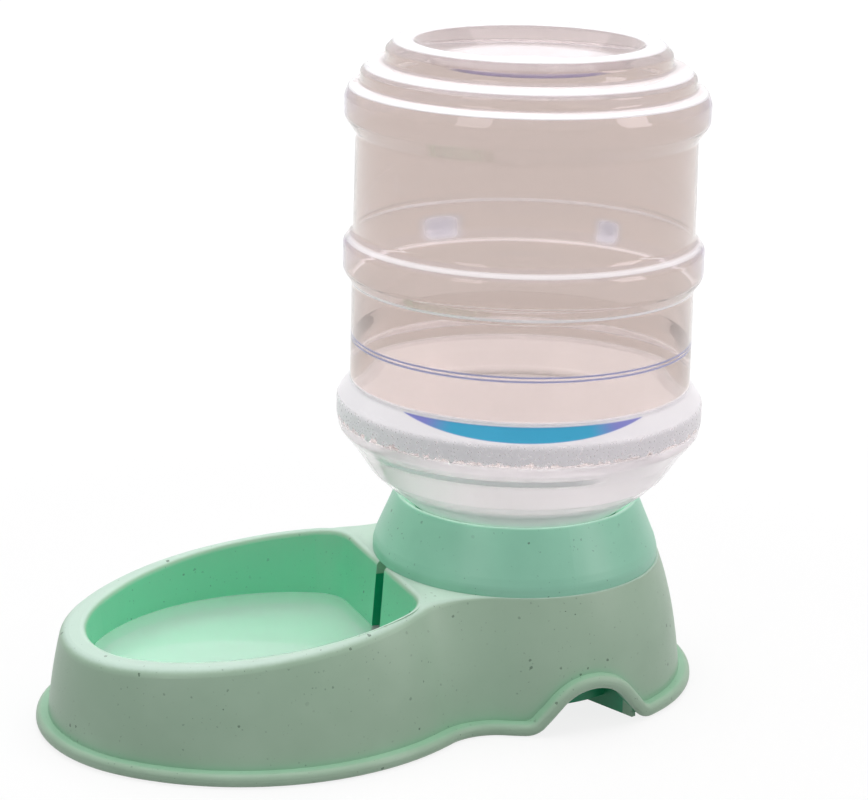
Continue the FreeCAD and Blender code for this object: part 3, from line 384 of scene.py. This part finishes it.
# %% [markdown]
# ## Finishes for the small parts
#
# The screw cap and the valve are plain white plastic, the two rings are soft silicone and the spring
# is bright wire. They sit inside the hood and hardly show, so one light noise in colour, roughness and
# relief is enough for all of them, and the wire differs only in that it is metallic.

# %% Cap, ring and spring finishes
def plain_plastic(name, first, second, roughness, scale):
    """One even material between two near colours."""
    finish, tree, shader = new_finish(name)
    place = add_node(tree, "ShaderNodeTexCoord").outputs["Object"]
    cloud = noise(tree, place, scale, 4.0).outputs["Fac"]
    join(tree, blend_colours(tree, cloud, first, second), shader.inputs["Base Color"])
    join(tree, remap(tree, cloud, 0.2, 0.8, roughness - 0.05, roughness + 0.05), shader.inputs["Roughness"])
    dent(tree, shader, cloud, 0.1, 0.0001)
    return finish


cap_finish = plain_plastic("white_cap", srgb(236, 238, 236), srgb(226, 229, 228), 0.35, 300.0)
valve_finish = plain_plastic("white_valve", srgb(228, 231, 232), srgb(216, 220, 222), 0.30, 400.0)
ring_finish = plain_plastic("silicone_ring", srgb(206, 208, 204), srgb(190, 193, 190), 0.55, 500.0)
wire_finish = plain_plastic("spring_wire", srgb(190, 192, 196), srgb(160, 163, 168), 0.25, 700.0)
wire_finish.node_tree.nodes["Principled BSDF"].inputs["Metallic"].default_value = 1.0

FINISH_OF = {
    "base_bowl": base_finish,
    "hood": hood_finish,
    "neck_cap": cap_finish,
    "cap_gasket": ring_finish,
    "valve_plunger": valve_finish,
    "valve_seal": ring_finish,
    "valve_spring": wire_finish,
}
for node_name, finish in FINISH_OF.items():
    for slot in nodes[node_name].material_slots:
        slot.material = finish
print("finished:", sorted(FINISH_OF))

# %% [markdown]
# ## Turned surfaces
#
# Bottle and water are round, so each is one line turned about the bottle's axis. A designer draws that
# line as straight runs with a rounding at each corner. The Spin and Screw tools would do the turning,
# but a short loop gives full control of the poles on the axis, where all faces meet in one point.

# %% Rounded line and lathe
ON_AXIS = 1e-5


def ease_corners(points, steps=6):
    """points: (radius, height, rounding). Returns the line with an arc at each rounded corner."""
    line = []
    for i, (r, z, rounding) in enumerate(points):
        here = Vector((r, z))
        if rounding == 0 or i in (0, len(points) - 1):
            line.append(here)
            continue
        back = Vector(points[i - 1][:2]) - here
        on = Vector(points[i + 1][:2]) - here
        half = back.angle(on) / 2
        reach = rounding / math.tan(half)
        start = here + back.normalized() * reach
        centre = here + (back.normalized() + on.normalized()).normalized() * (rounding / math.sin(half))
        turn = (start - centre).angle_signed(here + on.normalized() * reach - centre)
        for k in range(steps + 1):
            arm = (start - centre).copy()
            arm.rotate(Matrix.Rotation(-turn * k / steps, 2))
            line.append(centre + arm)
    return line


def set_in(line, wall):
    """The same line moved sideways by wall, toward the inside of the bottle."""
    moved = []
    for i, here in enumerate(line):
        before = line[max(i - 1, 0)]
        after = line[min(i + 1, len(line) - 1)]
        along = (after - before).normalized()
        moved.append(here + Vector((-along.y, along.x)) * wall)
    return moved


def make_piece(name, build):
    """Turns a bmesh into an object in the scene."""
    bmesh.ops.recalc_face_normals(build, faces=build.faces)
    mesh = bpy.data.meshes.new(name)
    build.to_mesh(mesh)
    build.free()
    piece = bpy.data.objects.new(name, mesh)
    bpy.context.collection.objects.link(piece)
    print(name, len(mesh.polygons), "faces")
    return piece


def turn_line(name, line, around=160):
    """A smooth mesh from a line of (radius, height) points turned about the bottle's axis."""
    build = bmesh.new()
    rings = []
    for radius, height in line:
        if radius < ON_AXIS:
            rings.append([build.verts.new((0, AXIS_Y, height))])
            continue
        ring = []
        for k in range(around):
            angle = 2 * math.pi * k / around
            spot = (radius * math.cos(angle), AXIS_Y + radius * math.sin(angle), height)
            ring.append(build.verts.new(spot))
        rings.append(ring)
    for low, high in zip(rings, rings[1:]):
        for k in range(around):
            n = (k + 1) % around
            corners = [low[k % len(low)], low[n % len(low)], high[n % len(high)], high[k % len(high)]]
            build.faces.new(list(dict.fromkeys(corners)))
    for face in build.faces:
        face.smooth = True
    return make_piece(name, build)


print("lathe ready")

# %% [markdown]
# ## The bottle
#
# The real bottle is blown in one piece from clear plastic and stands on its neck. Its wall is about
# 1.2 mm, and three swellings, two steps and a recess in its upturned bottom make it stiff. The CAD
# node has the same line, but its surface is made of patches whose edges show in glass, so a finer
# turned surface stands for it.

# %% Bottle outline
WALL = 0.0012
WIDE = WALL * 4  # WIDE to TIGHT are the roundings of its corners
MIDDLE = WALL * 3
SMALL = WALL * 1.9
TIGHT = WALL * 1.3
NECK_R = 0.0234
CREASE_R = 0.0626
CREASE_Z = 0.098
LOW_RING_R = 0.0844
LOW_RING_Z = 0.133
RING_R = 0.0823
MID_RING_Z = 0.204
TOP_RING_Z = 0.2725
BODY_R = 0.0779
STEP_R = 0.0754
STEP_Z = 0.2865
CROWN_R = 0.0644
CROWN_Z = 0.302
RECESS_R = 0.050

bottle_outline = [
    (NECK_R, 0.0426, 0),
    (NECK_R, 0.069, SMALL),
    (NECK_R + 0.006, 0.0716, MIDDLE),
    (CREASE_R, CREASE_Z, 0.0008),
    (CREASE_R + 0.0067, CREASE_Z + 0.0064, TIGHT),
    (BODY_R - 0.001, CREASE_Z + 0.0178, TIGHT),
    (LOW_RING_R - 0.001, LOW_RING_Z - 0.009, MIDDLE),
    (LOW_RING_R, LOW_RING_Z - 0.004, WIDE),
    (LOW_RING_R, LOW_RING_Z + 0.005, WIDE),
    (BODY_R + 0.0005, LOW_RING_Z + 0.0125, MIDDLE),
    (BODY_R + 0.0003, MID_RING_Z - 0.0125, MIDDLE),
    (RING_R, MID_RING_Z - 0.006, WIDE),
    (RING_R, MID_RING_Z + 0.006, WIDE),
    (BODY_R - 0.0001, MID_RING_Z + 0.012, MIDDLE),
    (BODY_R - 0.0007, TOP_RING_Z - 0.0125, MIDDLE),
    (RING_R, TOP_RING_Z - 0.005, WIDE),
    (RING_R, TOP_RING_Z + 0.004, WIDE),
    (RING_R - 0.0019, TOP_RING_Z + 0.0087, SMALL),
    (STEP_R, STEP_Z - 0.0036, TIGHT),
    (STEP_R, STEP_Z + 0.001, SMALL),
    (STEP_R - 0.0034, STEP_Z + 0.0042, SMALL),
    (CROWN_R, STEP_Z + 0.0056, TIGHT),
    (CROWN_R, CROWN_Z - 0.0045, SMALL),
    (CROWN_R - 0.0046, CROWN_Z, MIDDLE),
    (RECESS_R + 0.003, CROWN_Z, MIDDLE),
    (RECESS_R - 0.007, CROWN_Z - 0.0096, MIDDLE),
    (0, CROWN_Z - 0.0082, 0),
]
outside = ease_corners(bottle_outline)
inside = set_in(outside, WALL)
inside[0] = Vector((NECK_R - WALL, outside[0].y))
inside[-1] = Vector((0, outside[-1].y - WALL))
bottle = turn_line("clear_bottle", list(reversed(inside)) + outside)
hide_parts("bottle")
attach(bottle, "dispenser")

# %% [markdown]
# ## Water
#
# The bottle is a little over a third full. Its water is one more turned piece, whose side follows the
# inner line of the bottle. If it stopped at the wall, a film of air would show between the two, so it
# reaches a fraction of a millimetre into the plastic, as is usual for drinks in glasses.

# %% Water in the bottle
WATER_Z = 0.1670
WATER_START = 0.0640  # just over the valve when it is lifted
SOAK = 0.0002
EDGE = ((0.0, 0.0), (-0.0009, -0.0006), (-0.0026, -0.0010))  # the water climbs a little at the wall


def wall_at(level):
    """Inner radius of the bottle at a height."""
    for low, high in zip(inside, inside[1:]):
        if low.y <= level < high.y:
            return low.x + (high.x - low.x) * (level - low.y) / (high.y - low.y)


def water_line(level, start):
    """The inner line of the bottle between two heights, let into the wall, closed on the axis."""
    first_above = [k for k, p in enumerate(inside) if p.y > level][0]
    wet = [p + Vector((SOAK, 0)) for p in inside[:first_above] if p.y > start]
    wall = Vector((wall_at(level) + SOAK, level))
    rise = [wall + Vector(step) for step in EDGE]
    return [Vector((0, start)), Vector((wall_at(start), start))] + wet + rise + [Vector((0, rise[-1].y))]


bottle_water = turn_line("bottle_water", water_line(WATER_Z, WATER_START))
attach(bottle_water, "dispenser")

# %% [markdown]
# ## Water in the bowl
#
# The drinking bowl fills up to the mouth of the nozzle, 30 mm over the ground, through a slot in the
# wall beside the hood. Its water is a stack of outlines, one for each height, with walls that lean as
# the bowl's do and a rounded foot. Each outline has the same count of points, so that neighbours join
# into a clean band of faces.

# %% Water in the bowl
BOWL_FLOOR = 0.009
BOWL_TOP = 0.066
BOWL_WATER_Z = 0.030
FOOT_ROUND = 0.009
END_R = 0.0755
SIDE_R = 0.120
HALF_WIDTH = 0.0892
REACH = 0.2295
SLOT_HALF = 0.0045
SLOT_END = 0.0560
SIDE_IN = (0.0277, 0.0209)  # these three are at the floor and at the top
BACK_WALL = (0.0714, 0.0674)
CORNER_R = (0.016, 0.020)
OVERLAP = 0.0001
FOOT_STEPS = 8


def arc_points(cx, cy, radius, start, stop, count):
    """Points on an arc, both ends among them."""
    found = []
    for k in range(count):
        angle = start + (stop - start) * k / (count - 1)
        found.append(Vector((cx + radius * math.cos(angle), cy + radius * math.sin(angle))))
    return found


def bowl_outline(height, spare=0.0):
    """Right half of the bowl's plan at one height, from the end of the bowl to the slot."""
    share = (height - BOWL_FLOOR) / (BOWL_TOP - BOWL_FLOOR)
    inset = SIDE_IN[0] + (SIDE_IN[1] - SIDE_IN[0]) * share + spare
    reach = BACK_WALL[0] + (BACK_WALL[1] - BACK_WALL[0]) * share + spare
    corner = CORNER_R[0] + (CORNER_R[1] - CORNER_R[0]) * share
    side_cx = HALF_WIDTH - SIDE_R
    end_cy = AXIS_Y - (REACH - END_R)
    side_cy = end_cy + math.sqrt((SIDE_R - END_R) ** 2 - side_cx ** 2)
    side_r = SIDE_R - inset
    corner_y = AXIS_Y - reach - corner
    corner_x = side_cx + math.sqrt((side_r - corner) ** 2 - (corner_y - side_cy) ** 2)
    meet = math.atan2(end_cy - side_cy, -side_cx)
    leave = math.atan2(corner_y - side_cy, corner_x - side_cx)
    end = arc_points(0, end_cy, END_R - inset, -math.pi / 2, meet, 24)
    flank = arc_points(side_cx, side_cy, side_r, meet, leave, 40)
    bend = arc_points(corner_x, corner_y, corner, leave, math.pi / 2, 12)
    slot = [Vector((SLOT_HALF, AXIS_Y - reach)), Vector((SLOT_HALF, AXIS_Y - SLOT_END))]
    return end[:-1] + flank[:-1] + bend + slot


def bowl_ring(height):
    """The whole outline at one height, drawn in where the foot is rounded."""
    rise = height - BOWL_FLOOR
    foot = 0.0
    if rise < FOOT_ROUND:
        foot = FOOT_ROUND - math.sqrt(FOOT_ROUND ** 2 - (FOOT_ROUND - rise) ** 2)
    half = bowl_outline(height, foot - OVERLAP)
    whole = half + [Vector((-p.x, p.y)) for p in reversed(half[1:])]
    return [Vector((p.x, p.y, height)) for p in whole]


def stack_rings(name, rings):
    """Closed skin over rings that have the same count of points, flat at both ends."""
    build = bmesh.new()
    made = [[build.verts.new(p) for p in ring] for ring in rings]
    count = len(made[0])
    for low, high in zip(made, made[1:]):
        for k in range(count):
            build.faces.new((low[k], low[(k + 1) % count], high[(k + 1) % count], high[k]))
    build.faces.new(list(reversed(made[0])))
    build.faces.new(made[-1])
    return make_piece(name, build)


levels = [BOWL_FLOOR + OVERLAP / 2]
for k in range(1, FOOT_STEPS + 1):
    levels.append(BOWL_FLOOR + FOOT_ROUND * (1 - math.cos(math.pi / 2 * k / FOOT_STEPS)))
levels += [0.022, 0.026, BOWL_WATER_Z]
bowl_water = stack_rings("bowl_water", [bowl_ring(z) for z in levels])
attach(bowl_water, "dispenser")

# %% [markdown]
# ## Clear plastic and water
#
# Clear plastic bends light. Each wall that it crosses adds a trace of warm tint, a painted tint of a
# warm room seen through the bottle. Masks by height make the shader less clear and whiter on the
# swellings, partly as clouded wall and partly as painted highlights along their crests and edges, with a
# painted highlight on the shoulder below them; the wall also grows whiter toward the foot. The lowest
# swelling has a band of tiny bubbles. Upward faces get a painted darker shade, and the sides seen
# edge-on a painted violet shade. The bottle also mirrors things of the room that a plain studio doesn't
# have, as painted reflections: a violet arc in its top, a blue band over the bubbles, two pale blue
# patches on its far side and a violet line at the water. They are soft coloured masks by height and
# angle. Lamps would cast a black shadow through glass, so rays from lamps see a transparent surface.

# %% Light through clear things
def let_lamps_through(finish, tree, shader, tint):
    """Rays from lamps pass the surface, as thin clear plastic lets light through."""
    path = add_node(tree, "ShaderNodeLightPath")
    clear = add_node(tree, "ShaderNodeBsdfTransparent")
    clear.inputs["Color"].default_value = tint
    choose = add_node(tree, "ShaderNodeMixShader")
    join(tree, path.outputs["Is Shadow Ray"], choose.inputs[0])
    join(tree, shader.outputs[0], choose.inputs[1])
    join(tree, clear.outputs[0], choose.inputs[2])
    join(tree, choose.outputs[0], tree.nodes["Material Output"].inputs["Surface"])
    return finish


print("lamps shine through clear finishes")

# %% Haze, froth and painted highlights
FROTH_Z = LOW_RING_Z + 0.0014
FROTH_TEAR = 0.011
SKIRTING_Z = 0.1285
SHEEN_Z = 0.1195
SILL_Z = 0.1015
# painted highlights: thin white lines along the crests and edges of the rings
HIGHLIGHT_LINES = (  # height, half width, strength
    (MID_RING_Z - 0.0112, 0.0002, 0.60),
    (MID_RING_Z + 0.0085, 0.0005, 0.30),
    (TOP_RING_Z + 0.0085, 0.0003, 0.60),
    (STEP_Z + 0.0034, 0.0003, 0.65),
    (CROWN_Z - 0.0006, 0.0003, 0.60),
)


def haze_and_highlights(tree, height, radius, angle):
    """Mask of clouded wall and painted light: collar (clouded and painted highlight), recess, thin painted
    highlight lines, a painted sheen and a whiter foot.
    """
    # partly clouded wall, partly a painted highlight on the lowest swelling's upper slope
    collar = times(tree, band(tree, height, LOW_RING_Z + 0.0093, 0.0034, 0.0022), 0.95)
    dish = times(tree, band(tree, radius, 0.0, 0.040, 0.006), remap(tree, height, 0.285, 0.290), 0.22)
    lines = 0.0
    for middle, reach, strength in HIGHLIGHT_LINES:
        lines = largest(tree, lines, times(tree, band(tree, height, middle, reach, 0.0008), strength))
    skirting = times(tree, remap(tree, height, SKIRTING_Z + 0.0025, SKIRTING_Z - 0.0025), 0.38)
    # painted highlight: a white band on the shoulder, on the side toward the camera
    sheen = times(tree, band(tree, height, SHEEN_Z, 0.0012, 0.0014),
                  band(tree, angle, -12.0, 30.0, 22.0), 0.95)
    sill = times(tree, remap(tree, height, SILL_Z + 0.0025, SILL_Z - 0.0025), 0.75)
    return largest(tree, collar, dish, lines, skirting, sheen, sill)


def froth_band(tree, place, height, angle, ragged):
    """Mask of the band of tiny bubbles: torn edges, small pits, fading round the sides."""
    shift = times(tree, calc(tree, "SUBTRACT", ragged, 0.5), FROTH_TEAR)
    pits = noise(tree, place, 900.0, 2.0).outputs["Fac"]
    return times(tree, band(tree, calc(tree, "ADD", height, shift), FROTH_Z, 0.0040, 0.0012),
                 remap(tree, pits, 0.33, 0.40, 0.35, 1.0), band(tree, angle, 0.0, 75.0, 45.0), 0.96)


print("haze and froth masks ready")

# %% Coloured gleams
GLEAM_TOP = LOW_RING_Z + 0.01235
GLEAM_LOWEST = LOW_RING_Z + 0.0062
PATCHES_Z = MID_RING_Z - 0.0045
ARC_Z = CROWN_Z - 0.0096
ARC_R = 0.0415


def coloured_gleams(tree, height, radius, angle):
    """Pairs of mask and colour, from the band over the froth up to the arc in the bottle's top."""
    along = calc(tree, "DIVIDE", calc(tree, "SUBTRACT", angle, 2.0), 43.0)
    belly = calc(tree, "SUBTRACT", 1.0, times(tree, along, along))
    lower_edge = calc(tree, "SUBTRACT", GLEAM_LOWEST + 0.0060, times(tree, belly, 0.0060))
    gleam = times(tree, remap(tree, calc(tree, "SUBTRACT", height, lower_edge), 0.0, 0.0006),
                  remap(tree, height, GLEAM_TOP + 0.00035, GLEAM_TOP - 0.00035),
                  remap(tree, belly, 0.0, 0.10))
    gleam_blue = times(tree, gleam, band(tree, angle, 1.0, 21.0, 12.0))
    patches = largest(tree, band(tree, angle, 150.0, 1.5, 5.0), band(tree, angle, -150.0, 2.5, 8.0))
    patches = times(tree, patches, band(tree, height, PATCHES_Z, 0.0030, 0.0045), 0.34)
    arc = times(tree, band(tree, height, ARC_Z, 0.0003, 0.0010), band(tree, radius, ARC_R, 0.005, 0.003),
                band(tree, angle, 0.0, 34.0, 28.0), 0.7)
    surface = largest(tree, band(tree, height, WATER_Z + 0.0004, 0.0001, 0.0004),
                      band(tree, height, WATER_Z - 0.0014, 0.0001, 0.0005))
    surface = times(tree, surface, band(tree, angle, 0.0, 85.0, 10.0), 0.75)
    return (
        (gleam, srgb(136, 140, 214)),
        (gleam_blue, srgb(64, 176, 216)),
        (patches, srgb(160, 184, 230)),
        (arc, srgb(104, 84, 196)),
        (surface, srgb(128, 134, 206)),
    )


print("gleam masks ready")

# %% Clear plastic
# painted tint of a warm room seen through the bottle
PAINTED_ROOM_TINT = srgb(225, 216, 212)
# painted shade on upward faces
TOP_PAINTED_SHADE = srgb(214, 207, 209)
# painted violet shade where the sides are seen edge-on
EDGE_PAINTED_SHADE = srgb(206, 196, 212)
# white of the clouded wall and of the painted highlights
CLOUD_AND_HIGHLIGHT_WHITE = srgb(253, 252, 255)
FAINT_HAZE = 0.10


def clear_plastic(name):
    """Clear wall, faintly clouded all over, more clouded, whiter and tinted where the masks by place say
    so; these masks hold painted highlights, shade and reflections too.
    """
    finish, tree, shader = new_finish(name)
    place = add_node(tree, "ShaderNodeTexCoord").outputs["Object"]
    height, radius, angle = round_the_axis(tree, place)
    facing = add_node(tree, "ShaderNodeSeparateXYZ")
    join(tree, add_node(tree, "ShaderNodeNewGeometry").outputs["Normal"], facing.inputs[0])
    upward = remap(tree, facing.outputs["Z"], 0.25, 0.85)
    ragged = noise(tree, place, 240.0, 3.0, 0.7).outputs["Fac"]
    froth = froth_band(tree, place, height, angle, ragged)
    gleams = coloured_gleams(tree, height, radius, angle)
    # clouded wall, bubbles, painted highlights and painted reflections
    cloud_and_painted_light = largest(tree, haze_and_highlights(tree, height, radius, angle), froth, *[mask for mask, _ in gleams])
    cloud_and_painted_light = calc(tree, "ADD", times(tree, cloud_and_painted_light, 1 - FAINT_HAZE), FAINT_HAZE)

    # painted shade: a violet tint on the outer wall where the sides are seen edge-on
    painted_edge_shade = largest(tree, band(tree, angle, 90.0, 8.0, 9.0), band(tree, angle, -90.0, 8.0, 9.0))
    painted_edge_shade = times(tree, painted_edge_shade, remap(tree, radius, 0.0795, 0.0815))
    # painted shade: upward faces get a darker tint
    tint = blend_colours(tree, upward, PAINTED_ROOM_TINT, TOP_PAINTED_SHADE)
    tint = blend_colours(tree, painted_edge_shade, tint, EDGE_PAINTED_SHADE)
    # white where the wall is clouded, and painted highlights
    tint = blend_colours(tree, remap(tree, cloud_and_painted_light, 0.10, 0.35), tint, CLOUD_AND_HIGHLIGHT_WHITE)
    for mask, colour in gleams:
        tint = blend_colours(tree, mask, tint, colour)
    join(tree, tint, shader.inputs["Base Color"])
    join(tree, calc(tree, "SUBTRACT", 1.0, cloud_and_painted_light, True), shader.inputs["Transmission Weight"])
    join(tree, remap(tree, cloud_and_painted_light, 0.1, 1.0, 0.02, 0.30, False), shader.inputs["Roughness"])
    shader.inputs["IOR"].default_value = 1.42
    ripple = noise(tree, place, 45.0, 1.0).outputs["Fac"]
    dent(tree, shader, calc(tree, "ADD", ripple, times(tree, froth, ragged, 2.0)), 0.15, 0.0006)
    return let_lamps_through(finish, tree, shader, (0.94, 0.93, 0.92, 1))


bottle.data.materials.append(clear_plastic("clear_bottle_wall"))
print("bottle finished")

# %% [markdown]
# ## The water's finish
#
# Real water bends light by 1.33. Inside the bottle that would turn the far wall upside down and make a
# dark lens of it, while the bottle in the picture looks almost empty, so its water bends light very
# little. The water in the bowl keeps the true value and is a little milky.

# %% Water
BOTTLE_WATER_COLOUR = srgb(250, 247, 245)
BOWL_WATER_COLOUR = srgb(214, 227, 222)


def water(name, colour, clearness, bending, waves):
    """Smooth clear liquid; bending is its index of refraction, waves the scale of its ripples."""
    finish, tree, shader = new_finish(name)
    place = add_node(tree, "ShaderNodeTexCoord").outputs["Object"]
    shader.inputs["Base Color"].default_value = colour
    shader.inputs["Transmission Weight"].default_value = clearness
    shader.inputs["Roughness"].default_value = 0.0
    shader.inputs["IOR"].default_value = bending
    dent(tree, shader, noise(tree, place, waves, 1.0).outputs["Fac"], 0.1, 0.0005)
    return let_lamps_through(finish, tree, shader, (1, 1, 1, 1))


bottle_water.data.materials.append(water("bottle_water", BOTTLE_WATER_COLOUR, 0.97, 1.06, 20.0))
bowl_water.data.materials.append(water("bowl_water", BOWL_WATER_COLOUR, 0.66, 1.33, 30.0))
print("water finished")

# %% [markdown]
# ## Floor and light
#
# The picture has a plain white ground. A floor that is lit until it turns white would burn out the
# object too, so the floor is a pale sheet that shows part of its own white to the camera and keeps the
# soft shadow. It also shows that white in the clear bottle. One wide lamp hangs overhead, and two tall
# soft ones stand to both sides of the camera and round off the skirt and the hood.

# %% Floor
FLOOR_GREY = 0.46
FLOOR_GLOW = 0.68
GLOW_NEAR = 1.22  # the shadow of the object is lifted by this, and the ground far off is white
GLOW_FAR = 1.5
FLOOR_HALF = 6.0
FLOOR_DROP = 0.0002


def white_floor():
    """Pale sheet, partly lit by the lamps and partly white by itself where it is looked at."""
    finish, tree, shader = new_finish("white_floor")
    shader.inputs["Base Color"].default_value = (FLOOR_GREY, FLOOR_GREY, FLOOR_GREY, 1)
    shader.inputs["Roughness"].default_value = 0.9
    shader.inputs["Specular IOR Level"].default_value = 0.0
    path = add_node(tree, "ShaderNodeLightPath")
    looks = [path.outputs["Is %s Ray" % kind] for kind in ("Camera", "Transmission", "Glossy")]
    glow = add_node(tree, "ShaderNodeEmission")
    glow.inputs["Color"].default_value = (1, 1, 1, 1)
    place = add_node(tree, "ShaderNodeTexCoord").outputs["Object"]
    away = add_node(tree, "ShaderNodeVectorMath", operation="LENGTH")
    join(tree, place, away.inputs[0])
    join(tree, remap(tree, away.outputs["Value"], 0.25, 1.1, GLOW_NEAR, GLOW_FAR), glow.inputs["Strength"])
    choose = add_node(tree, "ShaderNodeMixShader")
    join(tree, times(tree, largest(tree, *looks), FLOOR_GLOW), choose.inputs[0])
    join(tree, shader.outputs[0], choose.inputs[1])
    join(tree, glow.outputs[0], choose.inputs[2])
    join(tree, choose.outputs[0], tree.nodes["Material Output"].inputs["Surface"])
    return finish


floor_mesh = bpy.data.meshes.new("floor")
corners = [(-FLOOR_HALF, -FLOOR_HALF, 0), (FLOOR_HALF, -FLOOR_HALF, 0), (FLOOR_HALF, FLOOR_HALF, 0),
           (-FLOOR_HALF, FLOOR_HALF, 0)]
floor_mesh.from_pydata(corners, [], [(0, 1, 2, 3)])
floor = bpy.data.objects.new("floor", floor_mesh)
floor.location.z = -FLOOR_DROP
bpy.context.collection.objects.link(floor)
floor.data.materials.append(white_floor())
print("floor of", 2 * FLOOR_HALF, "m")

# %% World
ROOM_COLOUR = (0.93, 0.96, 1.0, 1)
ROOM_STRENGTH = 0.22
GLOSSY_SHARE = 0.8

world = bpy.data.worlds.new("studio")
bpy.context.scene.world = world
world.use_nodes = True
sky = world.node_tree
sky.nodes.clear()
path = add_node(sky, "ShaderNodeLightPath")
glossy = times(sky, path.outputs["Is Glossy Ray"], GLOSSY_SHARE)
seen = largest(sky, path.outputs["Is Camera Ray"], path.outputs["Is Transmission Ray"], glossy)
white = add_node(sky, "ShaderNodeBackground")
white.inputs["Color"].default_value = (1, 1, 1, 1)
room = add_node(sky, "ShaderNodeBackground")
room.inputs["Color"].default_value = ROOM_COLOUR
room.inputs["Strength"].default_value = ROOM_STRENGTH
pick = add_node(sky, "ShaderNodeMixShader")
join(sky, seen, pick.inputs[0])
join(sky, room.outputs[0], pick.inputs[1])
join(sky, white.outputs[0], pick.inputs[2])
result = add_node(sky, "ShaderNodeOutputWorld")
join(sky, pick.outputs[0], result.inputs["Surface"])
print("world ready")

# %% Lamps
TARGET = (0, 0.03, 0.12)


def softbox(name, place, width, height, watts, colour=(1, 1, 1)):
    """A soft rectangular lamp that looks at the object."""
    lamp = bpy.data.lights.new(name, "AREA")
    lamp.shape = "RECTANGLE"
    lamp.size = width
    lamp.size_y = height
    lamp.energy = watts
    lamp.color = colour
    holder = bpy.data.objects.new(name, lamp)
    holder.location = place
    holder.rotation_euler = (Vector(TARGET) - Vector(place)).to_track_quat("-Z", "Y").to_euler()
    bpy.context.collection.objects.link(holder)
    return holder


overhead = softbox("overhead", (-0.15, 0.05, 1.25), 1.2, 1.2, 17.0)
overhead.visible_glossy = False  # its square outline would show in the bottle's flat steps
softbox("left_of_camera", (0.70, -1.10, 0.70), 0.5, 0.9, 2.6, (1.0, 0.93, 0.94))
softbox("right_of_camera", (0.95, 1.05, 0.60), 0.5, 0.9, 4.6, (1.0, 0.89, 0.91))
bpy.context.scene.view_settings.view_transform = "Standard"
print("studio ready")
